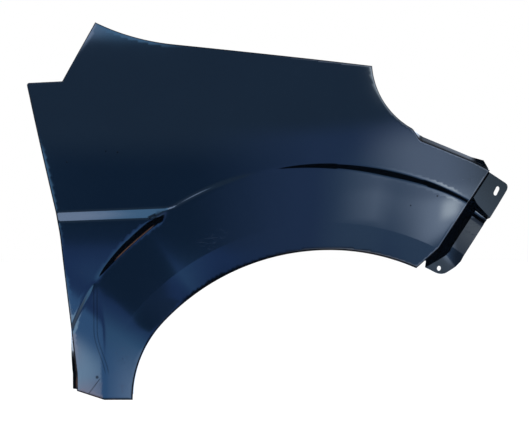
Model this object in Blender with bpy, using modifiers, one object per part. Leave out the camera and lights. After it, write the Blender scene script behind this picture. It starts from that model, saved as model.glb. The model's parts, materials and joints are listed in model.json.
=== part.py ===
"""Front fender of a small van, right-hand side: one steel pressing.

Frame: +X points to the front of the vehicle, +Y inboard and +Z up, so the painted side faces -Y.
The sizes are laid out from the centre of the wheel arch. The finished panel is then moved so that
the origin lies on the bolting face of its upper rail.
The panel is made the way a press shop makes it: a flat blank is cut out along its trim lines,
pressed to the body form, its edges are folded over, and the holes are pierced.
"""

import math

import bmesh
import bpy
import numpy as np
from mathutils import Matrix, Vector
from mathutils.geometry import delaunay_2d_cdt

NAME = "fender"
GAUGE = 0.0008

# Wheel arch, its flared band and the leg behind the wheel
ARCH_RADIUS = 0.3883
BAND_WIDTH = 0.1487
ARCH_FRONT_ANGLE = math.radians(66.4)
LEG_TUCK = 0.0531
SILL_HEIGHT = 0.1336
TOE_WIDTH = 0.048
HEEL_WIDTH = 0.0475
HEEL_RISE = 0.015
HEEL_HEIGHT = 0.030
CREASE_FRONT_ANGLE = math.radians(61.9)
CREASE_TURN_ANGLE = math.radians(111.0)
CREASE_FOOT_HEIGHT = 0.124

# Front edge, where the bumper cover laps the panel
NOSE_LENGTH = 0.068
NOSE_RAKE = math.radians(54.9)
CHIN_LENGTH = 0.0526
CHIN_RAKE = math.radians(40.4)

# Headlamp cut-out
LEDGE_TIP_RUN = 0.0359
LEDGE_TIP_DROP = 0.0165
LEDGE_RUN = 0.0936
LEDGE_DROP = 0.0348
DIP_RUN = 0.012
DIP_DROP = 0.020
DIP_FILLET = 0.014
LAMP_LENGTH = 0.2133
LAMP_HEIGHT = 0.182
LAMP_LEAN = math.radians(4.5)
LAMP_SLOPE = math.radians(28.5)

# Bonnet edge, windscreen pillar edge, notch and door edge
BONNET_DROP = 0.0723
BONNET_SLOPE = math.radians(5.5)
PEAK_SLOPE = math.radians(26.5)
PEAK_SETBACK = 0.0537
PEAK_RISE = 0.1050
NOTCH_WIDTH = 0.0615
NOTCH_RISE = 0.003
DOOR_RUN = 0.0890
DOOR_LEAN = 0.028
KNEE_DROP = 0.012
KNEE_FILLET = 0.35
CORNER_FILLET = 0.004

# Swage line across the door side
SWAGE_BELOW_NOTCH = 0.2210
SWAGE_SLOPE = math.radians(2.25)
SWAGE_HEIGHT = 0.0185
SWAGE_STEP = 0.0092

# Body form: radii of the curved panel
PLAN_RADIUS = 2.4
NOSE_RADIUS = 1.6
NOSE_START = 0.050
CROWN_RADIUS = 0.95
TUCK_RADIUS = 3.0
PRESS_RADIUS = 0.0025

# Flared band: how far it stands proud of the panel, by the angle about the wheel centre
BAND_NOSE_RECESS = 0.0018
BAND_RECESS = 0.008
BAND_MIDDLE_LIFT = 0.0025
BAND_REAR_LIFT = 0.0087
RECESS_GROWS = (math.radians(62.0), math.radians(80.0))
RECESS_ENDS = (math.radians(76.0), math.radians(106.0))
MIDDLE_RISES = (math.radians(100.0), math.radians(118.0))
REAR_RISES = (math.radians(126.0), math.radians(146.0))
STEP_MIN_WIDTH = 0.002
STEP_SPREAD = 1.0
LEG_TURN = math.radians(8.0)
LEG_TURN_FADE = 0.20

# Folds
FOLD_RADIUS = 0.0025
FOLD_STEPS = 2
SQUARE_FOLD = math.radians(90.0)
RELIEF = 0.009
TAB_CORNER = 0.006

LIP_DEPTH = 0.020
RETURN_DEPTH = 0.012
LAMP_RETURN = 0.014
RAIL_WALL = 0.010
RAIL_DROP = 0.016
RAIL_WIDTH = 0.028
LEDGE_RISES = (0.0085, 0.0075, 0.0120)
LEDGE_RUNOUT = 0.016
LEDGE_DEPTH = 0.013
LEDGE_NOSE_DEPTH = 0.0033
DOOR_SPLAY = 0.008
DOOR_SPLAY_HEIGHT = 0.110
HINGE_FACE_DEPTH = 0.030
HINGE_TAB_REACH = 0.030
HINGE_TAB_LENGTH = 0.036
HINGE_TAB_ABOVE_HEEL = 0.075
HINGE_TAB_BELOW_NOTCH = 0.082
SILL_TAB_DEPTH = 0.032
WALL_RUN = 0.021
WALL_DEPTH = 0.027
WALL_END_SHARE = 0.5
STRIP_WIDTHS = (0.0265, 0.0270, 0.0300)
STRIP_SLOPE = 0.30
CHIN_CLEAR = 0.0212
CHIN_CORNER = 0.010
WALL_LEANS = (math.radians(37.0), math.radians(-30.0), math.radians(35.0))
STRIP_LEANS = (math.radians(0.0), math.radians(0.0), math.radians(-24.0))
POCKET_GAP = 0.0045
POCKET_RISE = 0.0125
JOGGLE = 0.0030
NECK = 0.013
NECK_CUT = 0.016
NECK_LEANS = (math.radians(-5.0), math.radians(5.0), math.radians(38.0))
TAB_WIDTHS = (0.0470, 0.0495)
TAB_SLOPE = 0.45
TAB_LEANS = (math.radians(-5.0), math.radians(10.0))
NOSE_CORNER = 0.009
END_GAP = 0.003

# Holes
RAIL_HOLE_DIAMETER = 0.009
RAIL_HOLE_SHARES = (0.12, 0.52, 0.90)
HINGE_HOLE_DIAMETER = 0.0105
SILL_HOLE_DIAMETER = 0.009
SILL_HOLE_SHARE = 0.6
LINER_HOLE_DIAMETER = 0.0065
LINER_HOLE_ANGLES = tuple(math.radians(a) for a in (72.0, 92.0, 112.0, 132.0))
CHIN_HOLE_DIAMETER = 0.008
CHIN_HOLE_INSET = 0.010
TAB_SLOT_DIAMETER = 0.008
TAB_SLOT_LENGTH = 0.017
TAB_SLOT_PLACE = 0.022
TAB_SLOT_SHARE = 0.5
RAIL_ORIGIN_SHARE = 0.715
MIDDLE = 0.5
PUNCH_LENGTH = 0.016

# Mesh sizes
PITCH = 0.0155
MAX_TURN = math.radians(14.0)
ARC_STEP = math.radians(1.5)
CLEAR_OF_LINES = 0.62
SLOPE_PROBE = 0.002
HOLE_SIDES = 16
CORNER_SHARES = (0.0, 0.3, 1.0)
PRESS_LINES = ((0.0, 0.0), (1.0, 0.0))
SHARP_ANGLE = math.radians(25.0)
WELD = 1e-6

INBOARD = np.array([0.0, 1.0, 0.0])


# Flat geometry in the side view: a point is (x, z)

def heading(angle):
    """Unit vector at an angle above the +X direction."""
    return np.array([math.cos(angle), math.sin(angle)])


def left_of(direction):
    """Direction turned a quarter turn to the left."""
    return np.array([-direction[1], direction[0]])


def meet(p, along_p, q, along_q):
    """Point where two lines cross."""
    cross = along_p[0] * along_q[1] - along_p[1] * along_q[0]
    gap = q - p
    return p + along_p * (gap[0] * along_q[1] - gap[1] * along_q[0]) / cross


def arc(centre, radius, start, end):
    """Points along an arc, ends included."""
    count = max(2, math.ceil(abs(end - start) / ARC_STEP))
    return [centre + radius * heading(start + (end - start) * i / count) for i in range(count + 1)]


def fillet(before, corner, after, radius=None):
    """Arc tangent to both lines at a corner. Without a radius it fills the shorter line."""
    back = (before - corner) / np.linalg.norm(before - corner)
    ahead = (after - corner) / np.linalg.norm(after - corner)
    half = math.acos(np.clip(back @ ahead, -1.0, 1.0)) / 2
    room = min(np.linalg.norm(before - corner), np.linalg.norm(after - corner))
    tangent = room if radius is None else min(radius / math.tan(half), room)
    middle = (back + ahead) / np.linalg.norm(back + ahead)
    centre = corner + middle * tangent / math.cos(half)
    start = corner + back * tangent - centre
    end = corner + ahead * tangent - centre
    first = math.atan2(start[1], start[0])
    turn = math.atan2(start[0] * end[1] - start[1] * end[0], start @ end)
    return arc(centre, tangent * math.tan(half), first, first + turn)


class Path:
    """A polyline with distances along it."""

    def __init__(self, points):
        kept = [np.asarray(points[0], dtype=float)]
        for point in points[1:]:
            if np.linalg.norm(point - kept[-1]) > WELD:
                kept.append(np.asarray(point, dtype=float))
        self.points = np.array(kept)
        steps = np.diff(self.points, axis=0)
        self.lengths = np.linalg.norm(steps, axis=1)
        self.travel = np.concatenate([[0.0], np.cumsum(self.lengths)])
        self.headings = steps / self.lengths[:, None]
        self.length = self.travel[-1]

    def at(self, distance):
        x = np.interp(distance, self.travel, self.points[:, 0])
        z = np.interp(distance, self.travel, self.points[:, 1])
        return np.array([x, z])

    def direction(self, distance):
        """Heading at a distance; at a bend, the mean of both sides."""
        span = self.at(distance + SLOPE_PROBE) - self.at(distance - SLOPE_PROBE)
        return span / np.linalg.norm(span)

    def nearest(self, point):
        """Distance along the path of its nearest place to a point."""
        along = np.einsum("ij,ij->i", point - self.points[:-1], self.headings)
        along = np.clip(along, 0.0, self.lengths)
        feet = self.points[:-1] + self.headings * along[:, None]
        best = int(np.argmin(np.linalg.norm(feet - point, axis=1)))
        return self.travel[best] + along[best]

    def stations(self, pitch, stops=()):
        """Distances about a pitch apart, closer where the path turns, through every stop."""
        bends = np.einsum("ij,ij->i", self.headings[:-1], self.headings[1:])
        turns = np.arccos(np.clip(bends, -1.0, 1.0))
        effort = self.lengths / pitch
        effort[:-1] += turns / MAX_TURN / 2
        effort[1:] += turns / MAX_TURN / 2
        effort = np.concatenate([[0.0], np.cumsum(effort)])
        marks = sorted({0.0, self.length, *stops})
        found = []
        for low, high in zip(marks, marks[1:]):
            first, last = np.interp([low, high], self.travel, effort)
            count = max(1, round(last - first))
            spaced = np.interp(np.linspace(first, last, count + 1), effort, self.travel)
            found.extend([low, *spaced[1:-1]])
        return found + [self.length]


# Trim lines of the blank, worked out from the sizes above

ORIGIN = np.zeros(2)
CREASE_RADIUS = ARCH_RADIUS + BAND_WIDTH
LEG_FRONT = LEG_TUCK - ARCH_RADIUS

arch_front = ARCH_RADIUS * heading(ARCH_FRONT_ANGLE)
chin = arch_front + CHIN_LENGTH * heading(CHIN_RAKE)
crease_front = CREASE_RADIUS * heading(CREASE_FRONT_ANGLE)
nose = crease_front + NOSE_LENGTH * heading(NOSE_RAKE)
pocket_top = crease_front + POCKET_RISE * heading(NOSE_RAKE)
ledge_bend = nose + np.array([-LEDGE_TIP_RUN, LEDGE_TIP_DROP])
dip_low = ledge_bend + np.array([-LEDGE_RUN, LEDGE_DROP])
dip_high = dip_low + np.array([-DIP_RUN, DIP_DROP])
lamp_corner = nose + np.array([-LAMP_LENGTH, LAMP_HEIGHT])
lamp_knee = meet(lamp_corner, heading(LAMP_LEAN - SQUARE_FOLD), dip_high, heading(-LAMP_SLOPE))
toe = np.array([LEG_FRONT, SILL_HEIGHT])
instep = toe - np.array([TOE_WIDTH, 0.0])
heel = instep + np.array([-HEEL_WIDTH, HEEL_RISE])
heel_top = heel + np.array([0.0, HEEL_HEIGHT])
peak = np.array([heel[0] - DOOR_RUN + NOTCH_WIDTH + PEAK_SETBACK, lamp_corner[1] + BONNET_DROP])
bonnet_knee = meet(peak, heading(-PEAK_SLOPE), lamp_corner, heading(-BONNET_SLOPE))
notch_inner = peak - np.array([PEAK_SETBACK, PEAK_RISE])
notch_outer = notch_inner - np.array([NOTCH_WIDTH, NOTCH_RISE])
SWAGE_TOP = notch_outer[1] - SWAGE_BELOW_NOTCH
BELT = SWAGE_TOP - SWAGE_HEIGHT
door_knee = np.array([heel[0] - DOOR_LEAN, BELT - KNEE_DROP])
LEG_ARC_RADIUS = (ARCH_RADIUS ** 2 - toe @ toe) / (2 * LEG_TUCK)
leg_arc_centre = toe + np.array([LEG_ARC_RADIUS, 0.0])
LEG_ARC_ANGLE = math.atan2(leg_arc_centre[1], leg_arc_centre[0])

bonnet_path = Path([peak, *fillet(peak, bonnet_knee, lamp_corner), lamp_corner])
dip_curve = fillet(lamp_knee, dip_high, dip_low, DIP_FILLET)
lamp_path = Path([
    lamp_corner,
    *fillet(lamp_corner, lamp_knee, dip_curve[0]),
    *dip_curve,
    *fillet(dip_high, dip_low, ledge_bend, DIP_FILLET),
    ledge_bend,
    nose,
])
nose_path = Path([nose, pocket_top])
front_path = Path([pocket_top, crease_front, chin, arch_front])
arch_path = Path([
    *arc(ORIGIN, ARCH_RADIUS, ARCH_FRONT_ANGLE, LEG_ARC_ANGLE),
    *arc(leg_arc_centre, LEG_ARC_RADIUS, LEG_ARC_ANGLE, math.pi),
])
sill_path = Path([toe, instep])
heel_path = Path([instep, heel])
door_path = Path([
    heel,
    heel_top,
    *fillet(heel_top, door_knee, notch_outer, KNEE_FILLET),
    *fillet(door_knee, notch_outer, notch_inner, CORNER_FILLET),
])
hinge_places = (HINGE_TAB_ABOVE_HEEL, door_path.length - HINGE_TAB_BELOW_NOTCH - HINGE_TAB_LENGTH)
notch_start = door_path.points[-1]
notch_path = Path([notch_start, notch_inner])
pillar_path = Path([notch_inner, peak])


# Feature lines inside the trim lines

crease_foot = door_path.at(np.interp(SILL_HEIGHT + CREASE_FOOT_HEIGHT,
                                     door_path.points[:, 1], door_path.travel))
crease_turn = CREASE_RADIUS * heading(CREASE_TURN_ANGLE)
REAR_SPAN = crease_turn - crease_foot
REAR_RADIUS = REAR_SPAN @ REAR_SPAN / (2 * heading(CREASE_TURN_ANGLE) @ REAR_SPAN)
rear_centre = (CREASE_RADIUS - REAR_RADIUS) * heading(CREASE_TURN_ANGLE)
FOOT_ANGLE = math.atan2(*(crease_foot - rear_centre)[::-1])


def crease_depth(x, z):
    """How far a point lies inside the crease round the arch; negative outside it."""
    front = CREASE_RADIUS - np.hypot(x, z)
    rear = REAR_RADIUS - np.hypot(x - rear_centre[0], z - rear_centre[1])
    return np.where(np.arctan2(z, x) < CREASE_TURN_ANGLE, front, rear)


def crease_point(angle, depth=0.0):
    """Point at a depth inside the crease, at an angle about the centre of its own arc."""
    if angle < CREASE_TURN_ANGLE:
        return (CREASE_RADIUS - depth) * heading(angle)
    return rear_centre + (REAR_RADIUS - depth) * heading(angle)


# Body form: the depth y of the panel at each point of the side view

def ramp(distance, width, soften):
    """Rise from 0 to 1 over a width, its two corners eased over the soften distance."""
    def area(u):
        inside = np.clip(u, 0.0, width)
        return inside * inside / (2 * width) + np.maximum(u - width, 0.0)
    return (area(distance + soften) - area(distance - soften)) / (2 * soften)


def smooth(value, span):
    """Smooth step from 0 to 1 over a span."""
    t = np.clip((value - span[0]) / (span[1] - span[0]), 0.0, 1.0)
    return t * t * (3 - 2 * t)


def body(x, z):
    """Double-curved body surface, without its features."""
    plan = (x - door_knee[0]) ** 2 / (2 * PLAN_RADIUS)
    front = np.maximum(x + NOSE_START, 0.0) ** 2 / (2 * NOSE_RADIUS)
    crown = np.maximum(z - BELT, 0.0) ** 2 / (2 * CROWN_RADIUS)
    tuck = np.maximum(BELT - z, 0.0) ** 2 / (2 * TUCK_RADIUS)
    return plan + front + crown + tuck


def swage_line(x, drop=0.0):
    """Height of the swage's top line, or of a line below it."""
    return SWAGE_TOP - drop + (x - door_knee[0]) * math.tan(SWAGE_SLOPE)


def swage(x, z):
    """Outboard step of the panel below the swage."""
    return -SWAGE_STEP * ramp(swage_line(x) - z, SWAGE_HEIGHT, PRESS_RADIUS)


def band(angle):
    """How far inboard the band round the arch lies, against the upper panel."""
    recess = BAND_NOSE_RECESS + (BAND_RECESS - BAND_NOSE_RECESS) * smooth(angle, RECESS_GROWS)
    recess = recess * (1 - smooth(angle, RECESS_ENDS))
    lift = BAND_MIDDLE_LIFT * smooth(angle, MIDDLE_RISES) + BAND_REAR_LIFT * smooth(angle, REAR_RISES)
    return recess - lift


def step_width(angle, x, z):
    """Width of the pressed step along the crease: wider where it is deeper."""
    return STEP_MIN_WIDTH + STEP_SPREAD * np.abs(band(angle) - swage(x, z))


def leg_turn(x, z):
    """The rear strip of the leg, turned back towards the door."""
    fade = 1 - smooth(z, (heel_top[1], heel_top[1] + LEG_TURN_FADE))
    return math.tan(LEG_TURN) * np.maximum(instep[0] - x, 0.0) * fade


def form(x, z):
    """Depth of the pressed panel's outer face."""
    x = np.asarray(x, dtype=float)
    z = np.asarray(z, dtype=float)
    angle = np.arctan2(z, x)
    outer = swage(x, z)
    inside = ramp(crease_depth(x, z), step_width(angle, x, z), PRESS_RADIUS)
    return body(x, z) + outer + (band(angle) - outer) * inside + leg_turn(x, z)


def beside_crease(angle, share, radii):
    """Point inside the crease by a share of its step's width and a number of press radii."""
    edge = crease_point(angle)
    width = float(step_width(math.atan2(edge[1], edge[0]), *edge))
    return crease_point(angle, share * width + radii * PRESS_RADIUS)


def line_across(path, level):
    """Place where a sloping line, given by its height at x, crosses a path."""
    heights = path.points[:, 1] - level(path.points[:, 0])
    first = int(np.nonzero(heights[:-1] * heights[1:] <= 0)[0][0])
    share = heights[first] / (heights[first] - heights[first + 1])
    return path.points[first] + share * (path.points[first + 1] - path.points[first])


class Column:
    """One place on the trim line, from which the folds are built inboard."""

    def __init__(self, point, outward, fold, edge="", distance=0.0):
        self.outward = outward
        self.fold = fold
        self.edge = edge
        self.distance = distance
        probe = SLOPE_PROBE * outward / np.linalg.norm(outward)
        self.slope = math.atan2(float(form(*point) - form(*(point - probe))), SLOPE_PROBE)
        self.climb = float(form(*(point - left_of(probe))) - form(*(point + left_of(probe))))
        self.climb /= 2 * SLOPE_PROBE
        self.point = point - outward * FOLD_RADIUS * (math.sin(fold) - math.sin(self.slope))

    def step(self, position, out, depth, along=0.0):
        """Move outward in the side view, inboard, and along the trim line with its slope."""
        x = self.outward[0] * out + self.outward[1] * along
        z = self.outward[1] * out - self.outward[0] * along
        return position + np.array([x, depth + along * self.climb, z])

    def rolled(self, share=1.0):
        """Place on the rolled edge, from its start at 0 to its end at 1."""
        turned = self.slope + (self.fold - self.slope) * share
        out = FOLD_RADIUS * (math.sin(turned) - math.sin(self.slope))
        depth = FOLD_RADIUS * (math.cos(self.slope) - math.cos(turned))
        start = np.array([self.point[0], float(form(*self.point)), self.point[1]])
        return self.step(start, out, depth)


class Edge:
    """One stretch of the trim line between two corners. Its fold may change along it."""

    def __init__(self, name, path, fold=SQUARE_FOLD, stops=()):
        self.name = name
        self.path = path
        self.fold = fold
        self.stops = stops

    def fold_at(self, distance):
        return self.fold(distance) if callable(self.fold) else self.fold

    def column(self, distance):
        outward = left_of(self.path.direction(distance))
        return Column(self.path.at(distance), outward, self.fold_at(distance), self.name, distance)

    def columns(self, pitch):
        return [self.column(d) for d in self.path.stations(pitch, self.stops)[1:-1]]


def corner_column(last, edge):
    """Column on the corner between two edges, with its outward direction mitred."""
    first, second = left_of(last.path.headings[-1]), left_of(edge.path.headings[0])
    middle = (first + second) / np.linalg.norm(first + second)
    fold = (last.fold_at(last.path.length) + edge.fold_at(0.0)) / 2
    return Column(edge.path.points[0], middle / (middle @ first), fold)


def rounded_stops(low, high, corner=TAB_CORNER):
    """Stops for a tab between two distances, with rounded corners."""
    return [low + corner * s for s in CORNER_SHARES] + [high - corner * s for s in CORNER_SHARES]


def corner_loss(inset, corner=TAB_CORNER):
    """How much a rounded corner takes off a tab's width, at a distance in from its end."""
    inset = min(inset, corner)
    return corner - math.sqrt(max(corner ** 2 - (corner - inset) ** 2, 0.0))


def blend(distance, marks, sizes):
    """A size that changes evenly between marks along an edge."""
    return float(np.interp(distance, marks, sizes))


# Flanges: each move gives (out, depth) or (out, depth, along) from a column's last place

LAMP_END = lamp_path.nearest(dip_high)
LEDGE_START = lamp_path.nearest(dip_low)
LEDGE_BEND = lamp_path.nearest(ledge_bend)
LEDGE_TIP = lamp_path.length - LEDGE_RUNOUT
LEDGE_ANGLE = math.atan2(LEDGE_DEPTH, min(LEDGE_RISES))
LEDGE_OUT = left_of((ledge_bend - dip_low) / np.linalg.norm(ledge_bend - dip_low))
WALL_ANGLE = math.atan2(WALL_DEPTH, WALL_RUN)
SPLAY_TOP = HEEL_HEIGHT + DOOR_SPLAY_HEIGHT
CHIN_BEND = front_path.nearest(chin)
STRIP_END = front_path.length - CHIN_CLEAR
STRIP_MARKS = (POCKET_GAP / 2, CHIN_BEND, STRIP_END)
TAB_END = nose_path.length - POCKET_GAP / 2
TAB_MARKS = (0.0, TAB_END)
NECK_MARKS = (0.0, TAB_END - NECK_CUT, TAB_END)


def lamp_fold(distance):
    return blend(distance, (LAMP_END, LEDGE_START), (SQUARE_FOLD, LEDGE_ANGLE))


def lamp_move(column):
    """Headlamp return, which becomes a seat leaning over the edge and runs out at the nose."""
    marks = (LAMP_END, LEDGE_START, LEDGE_BEND, LEDGE_TIP, lamp_path.length)
    rise = blend(column.distance, marks, (0.0, *LEDGE_RISES, 0.0))
    depth = blend(column.distance, marks, (LAMP_RETURN, *[LEDGE_DEPTH] * 3, LEDGE_NOSE_DEPTH))
    across = rise * LEDGE_OUT
    return across @ column.outward, depth, across @ -left_of(column.outward)


def straight_return(depth):
    """A plain flange that goes straight inboard."""
    return lambda column: (0.0, depth)


def rail_wall(column):
    return 0.0, RAIL_WALL


def rail_drop(column):
    return -RAIL_DROP, 0.0


def rail_face(column):
    return 0.0, RAIL_WIDTH


def sill_move(column):
    """Bolting tab under the leg, with rounded corners."""
    inset = min(column.distance, sill_path.length - column.distance) - RELIEF
    return 0.0, SILL_TAB_DEPTH - corner_loss(inset)


def door_move(column):
    """Door-edge return, splayed back at the leg."""
    share = 1 - smooth(column.distance, (HEEL_HEIGHT, SPLAY_TOP))
    return DOOR_SPLAY * share, RETURN_DEPTH


def hinge_reach(place):
    """Hinge-pillar tab, turned forward under the skin, with rounded corners."""
    def move(column):
        inset = min(column.distance - place, place + HINGE_TAB_LENGTH - column.distance)
        return corner_loss(inset) - HINGE_TAB_REACH, 0.0
    return move


def lean(column, marks, angles):
    """Slant of a tab or strip at a column, as a share of its width; its ends need not be square."""
    return math.tan(blend(column.distance, marks, angles))


def joggle_move(column):
    """First step down from the front edge, the same under the nose tab and the strip."""
    return JOGGLE, JOGGLE * math.tan(WALL_ANGLE)


def wall_move(column):
    """Wall down to the bumper strip, which gets shallower past the chin bend."""
    share = blend(column.distance, (CHIN_BEND, STRIP_END), (1.0, WALL_END_SHARE))
    run = WALL_RUN * share - JOGGLE
    return run, run * math.tan(WALL_ANGLE), WALL_RUN * share * lean(column, STRIP_MARKS, WALL_LEANS)


def strip_move(column):
    """Strip that the bumper's edge lies on."""
    width = blend(column.distance, STRIP_MARKS, STRIP_WIDTHS)
    width -= corner_loss(STRIP_END - column.distance, CHIN_CORNER)
    return width, width * STRIP_SLOPE, width * lean(column, STRIP_MARKS, STRIP_LEANS)


def neck_move(column):
    """Nose tab where it starts, cut back at its lower end."""
    return NECK, NECK * TAB_SLOPE, NECK * lean(column, NECK_MARKS, NECK_LEANS)


def tab_move(column):
    """Rest of the nose tab, which bolts to the bumper's bracket."""
    width = blend(column.distance, TAB_MARKS, TAB_WIDTHS) - JOGGLE - NECK
    width -= corner_loss(column.distance - END_GAP, NOSE_CORNER)
    return width, width * TAB_SLOPE, width * lean(column, TAB_MARKS, TAB_LEANS)


def ends(path, clear=RELIEF):
    return [clear, path.length - clear]


def door_stops():
    """Stops on the door edge: crease, swage, splay and hinge tabs."""
    def swage_foot(x):
        return swage_line(x, SWAGE_HEIGHT)
    crossings = [crease_foot, heel_top, line_across(door_path, swage_line),
                 line_across(door_path, swage_foot)]
    tabs = [s for place in hinge_places for s in rounded_stops(place, place + HINGE_TAB_LENGTH)]
    return [END_GAP, door_path.length - RELIEF, SPLAY_TOP, *tabs,
            *(door_path.nearest(point) for point in crossings)]


bonnet_edge = Edge("bonnet", bonnet_path, stops=ends(bonnet_path))
lamp_edge = Edge("lamp", lamp_path, lamp_fold, [
    RELIEF, LAMP_END, LEDGE_START, LEDGE_BEND, LEDGE_TIP, lamp_path.length - END_GAP,
])
nose_edge = Edge("nose", nose_path, WALL_ANGLE, [
    *(END_GAP + NOSE_CORNER * s for s in CORNER_SHARES), TAB_END - NECK_CUT, TAB_END,
])
front_edge = Edge("front", front_path, WALL_ANGLE, [
    POCKET_GAP / 2, POCKET_RISE, CHIN_BEND, *(STRIP_END - CHIN_CORNER * s for s in CORNER_SHARES),
])
arch_edge = Edge("arch", arch_path, stops=ends(arch_path))
sill_edge = Edge("sill", sill_path, stops=rounded_stops(RELIEF, sill_path.length - RELIEF))
heel_edge = Edge("heel", heel_path, stops=ends(heel_path))
door_edge = Edge("door", door_path, stops=door_stops())
notch_edge = Edge("notch", notch_path, stops=ends(notch_path))
pillar_edge = Edge("pillar", pillar_path, stops=ends(pillar_path))
EDGES = [bonnet_edge, lamp_edge, nose_edge, front_edge, arch_edge,
         sill_edge, heel_edge, door_edge, notch_edge, pillar_edge]


def build_loop(pitch):
    """Columns right round the trim line, clockwise as seen from outside."""
    loop = []
    for last, edge in zip([EDGES[-1], *EDGES[:-1]], EDGES):
        loop.append(corner_column(last, edge))
        loop.extend(edge.columns(pitch))
    return loop


def crease_crossing(level):
    """Angle at which a sloping line meets the crease, on its way down to the door."""
    angles = np.linspace(CREASE_FRONT_ANGLE, FOOT_ANGLE, 721)
    points = np.array([crease_point(a) for a in angles])
    heights = points[:, 1] - level(points[:, 0])
    rear = int(np.nonzero((heights[:-1] > 0) & (heights[1:] <= 0))[0][-1])
    share = heights[rear] / (heights[rear] - heights[rear + 1])
    return angles[rear] + share * (angles[rear + 1] - angles[rear])


def crease_angles(pitch, stops):
    """Angles along the crease about a pitch apart, through its stops."""
    marks = sorted([CREASE_FRONT_ANGLE, CREASE_TURN_ANGLE, FOOT_ANGLE, *stops])
    found = []
    for low, high in zip(marks, marks[1:]):
        radius = CREASE_RADIUS if high <= CREASE_TURN_ANGLE else REAR_RADIUS
        count = max(1, round((high - low) * radius / pitch))
        found.extend(low + (high - low) * i / count for i in range(count))
    return found + [FOOT_ANGLE]


def feature_lines(pitch):
    """Lines of the crease's step and the swage, as chains of points."""
    drops = [share * SWAGE_HEIGHT + radii * PRESS_RADIUS for share, radii in PRESS_LINES]
    crossings = [crease_crossing(lambda x, d=drop: swage_line(x, d)) for drop in drops]
    angles = crease_angles(pitch, crossings)
    lines = [[crease_point(a) for a in angles]]
    lines.extend([beside_crease(a, *mark) for a in angles[1:-1]] for mark in PRESS_LINES if any(mark))
    for drop, angle in zip(drops, crossings):
        start = line_across(door_path, lambda x, d=drop: swage_line(x, d))
        path = Path([start, crease_point(angle)])
        lines.append([path.at(d) for d in path.stations(pitch)])
    return lines


def snapped(line, loop):
    """The line with each end that lies by the trim line put on the nearest column."""
    points = np.array([c.point for c in loop])
    line = [np.asarray(p) for p in line]
    for end in (0, -1):
        gaps = np.linalg.norm(points - line[end], axis=1)
        if gaps.min() < 2 * FOLD_RADIUS:
            line[end] = points[int(np.argmin(gaps))]
    return line


def inside_outline(points, outline):
    """Which points lie inside a closed outline."""
    result = np.zeros(len(points), dtype=bool)
    for start, end in zip(outline, np.roll(outline, -1, axis=0)):
        if start[1] == end[1]:
            continue
        straddles = (start[1] > points[:, 1]) != (end[1] > points[:, 1])
        share = (points[:, 1] - start[1]) / (end[1] - start[1])
        result ^= straddles & (points[:, 0] < start[0] + share * (end[0] - start[0]))
    return result


def distance_to_chain(points, chain):
    """Distance of each point from a chain of straight pieces."""
    nearest = np.full(len(points), np.inf)
    for start, end in zip(chain, chain[1:]):
        span = end - start
        share = np.clip((points - start) @ span / (span @ span), 0.0, 1.0)
        gap = np.linalg.norm(points - start - share[:, None] * span, axis=1)
        nearest = np.minimum(nearest, gap)
    return nearest


def lattice(outline, lines, pitch):
    """Evenly spaced points inside the outline, clear of every line."""
    low, high = outline.min(axis=0), outline.max(axis=0)
    row_gap = pitch * math.sqrt(3) / 2
    rows = math.ceil((high[1] - low[1]) / row_gap)
    across = math.ceil((high[0] - low[0]) / pitch)
    points = np.array([(low[0] + pitch * (i + row % 2 / 2), low[1] + row_gap * row)
                       for row in range(rows) for i in range(across)])
    points = points[inside_outline(points, outline)]
    for chain in [[*outline, outline[0]], *lines]:
        points = points[distance_to_chain(points, chain) > CLEAR_OF_LINES * pitch]
    return points


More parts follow.
